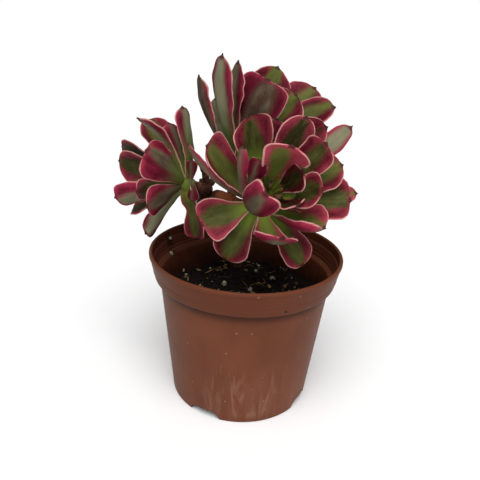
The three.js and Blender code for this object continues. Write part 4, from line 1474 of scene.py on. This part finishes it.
def make_floor():
    """A pale round floor just under the pot."""
    shape = bmesh.new()
    bmesh.ops.create_circle(shape, cap_ends=True, radius=40, segments=96)
    mesh = bpy.data.meshes.new("floor")
    shape.to_mesh(mesh)
    shape.free()
    pale = (0.86, 0.86, 0.86, 1)
    paper = Finish("pale floor", {"Base Color": pale, "Roughness": 1, "Specular IOR Level": 0})
    mesh.materials.append(paper.material)
    floor = bpy.data.objects.new("floor", mesh)
    bpy.context.collection.objects.link(floor)
    floor.location.z = -FLOOR_CLEARANCE


def soft_light(name, source, spread, strength):
    """Far light from the direction of source, as soft as its spread in degrees."""
    lamp = bpy.data.lights.new(name, "SUN")
    lamp.angle = math.radians(spread)
    lamp.energy = strength
    made = bpy.data.objects.new(name, lamp)
    made.rotation_euler = Vector(source).to_track_quat("Z", "Y").to_euler()
    bpy.context.collection.objects.link(made)


make_floor()
soft_light("window", (-0.05, -0.65, 1.2), 50, 3.1)
soft_light("room", (0.7, -1.0, 0.5), 80, 0.7)

# White all round: bright where the camera sees it, faint where it only fills the shadows
world = bpy.data.worlds.new("studio")
world.use_nodes = True
sky = world.node_tree.nodes["Background"]
sky.inputs["Color"].default_value = (1, 1, 1, 1)
sky.inputs["Strength"].default_value = 0.26
seen = world.node_tree.nodes.new("ShaderNodeBackground")
seen.inputs["Color"].default_value = (1, 1, 1, 1)
choice = world.node_tree.nodes.new("ShaderNodeMixShader")
rays = world.node_tree.nodes.new("ShaderNodeLightPath")
world.node_tree.links.new(rays.outputs["Is Camera Ray"], choice.inputs[0])
world.node_tree.links.new(sky.outputs[0], choice.inputs[1])
world.node_tree.links.new(seen.outputs[0], choice.inputs[2])
world.node_tree.links.new(choice.outputs[0], world.node_tree.nodes["World Output"].inputs["Surface"])
bpy.context.scene.world = world
bpy.context.scene.view_settings.view_transform = "Standard"

# Camera of the photograph: in front of the plant and above it, a little turned
elevation = math.radians(CAMERA_ELEVATION)
roll = math.radians(CAMERA_ROLL)
ahead = Vector((0, math.cos(elevation), -math.sin(elevation)))
level = Vector((1, 0, 0))
upright = level.cross(ahead)
camera_right = level * math.cos(roll) + upright * math.sin(roll)
camera_up = upright * math.cos(roll) - level * math.sin(roll)
lens = bpy.data.cameras.new("camera")
lens.sensor_width = SENSOR_WIDTH
lens.lens = FOCAL_PIXELS / PICTURE_WIDTH * SENSOR_WIDTH
lens.clip_start = 0.01
camera = bpy.data.objects.new("camera", lens)
aim = fit_to_frame @ Vector(CAMERA_AIM)
spot = aim - ahead * CAMERA_DISTANCE
camera.matrix_world = Matrix(
    (
        (camera_right.x, camera_up.x, -ahead.x, spot.x),
        (camera_right.y, camera_up.y, -ahead.y, spot.y),
        (camera_right.z, camera_up.z, -ahead.z, spot.z),
        (0, 0, 0, 1),
    )
)
bpy.context.collection.objects.link(camera)
bpy.context.scene.camera = camera
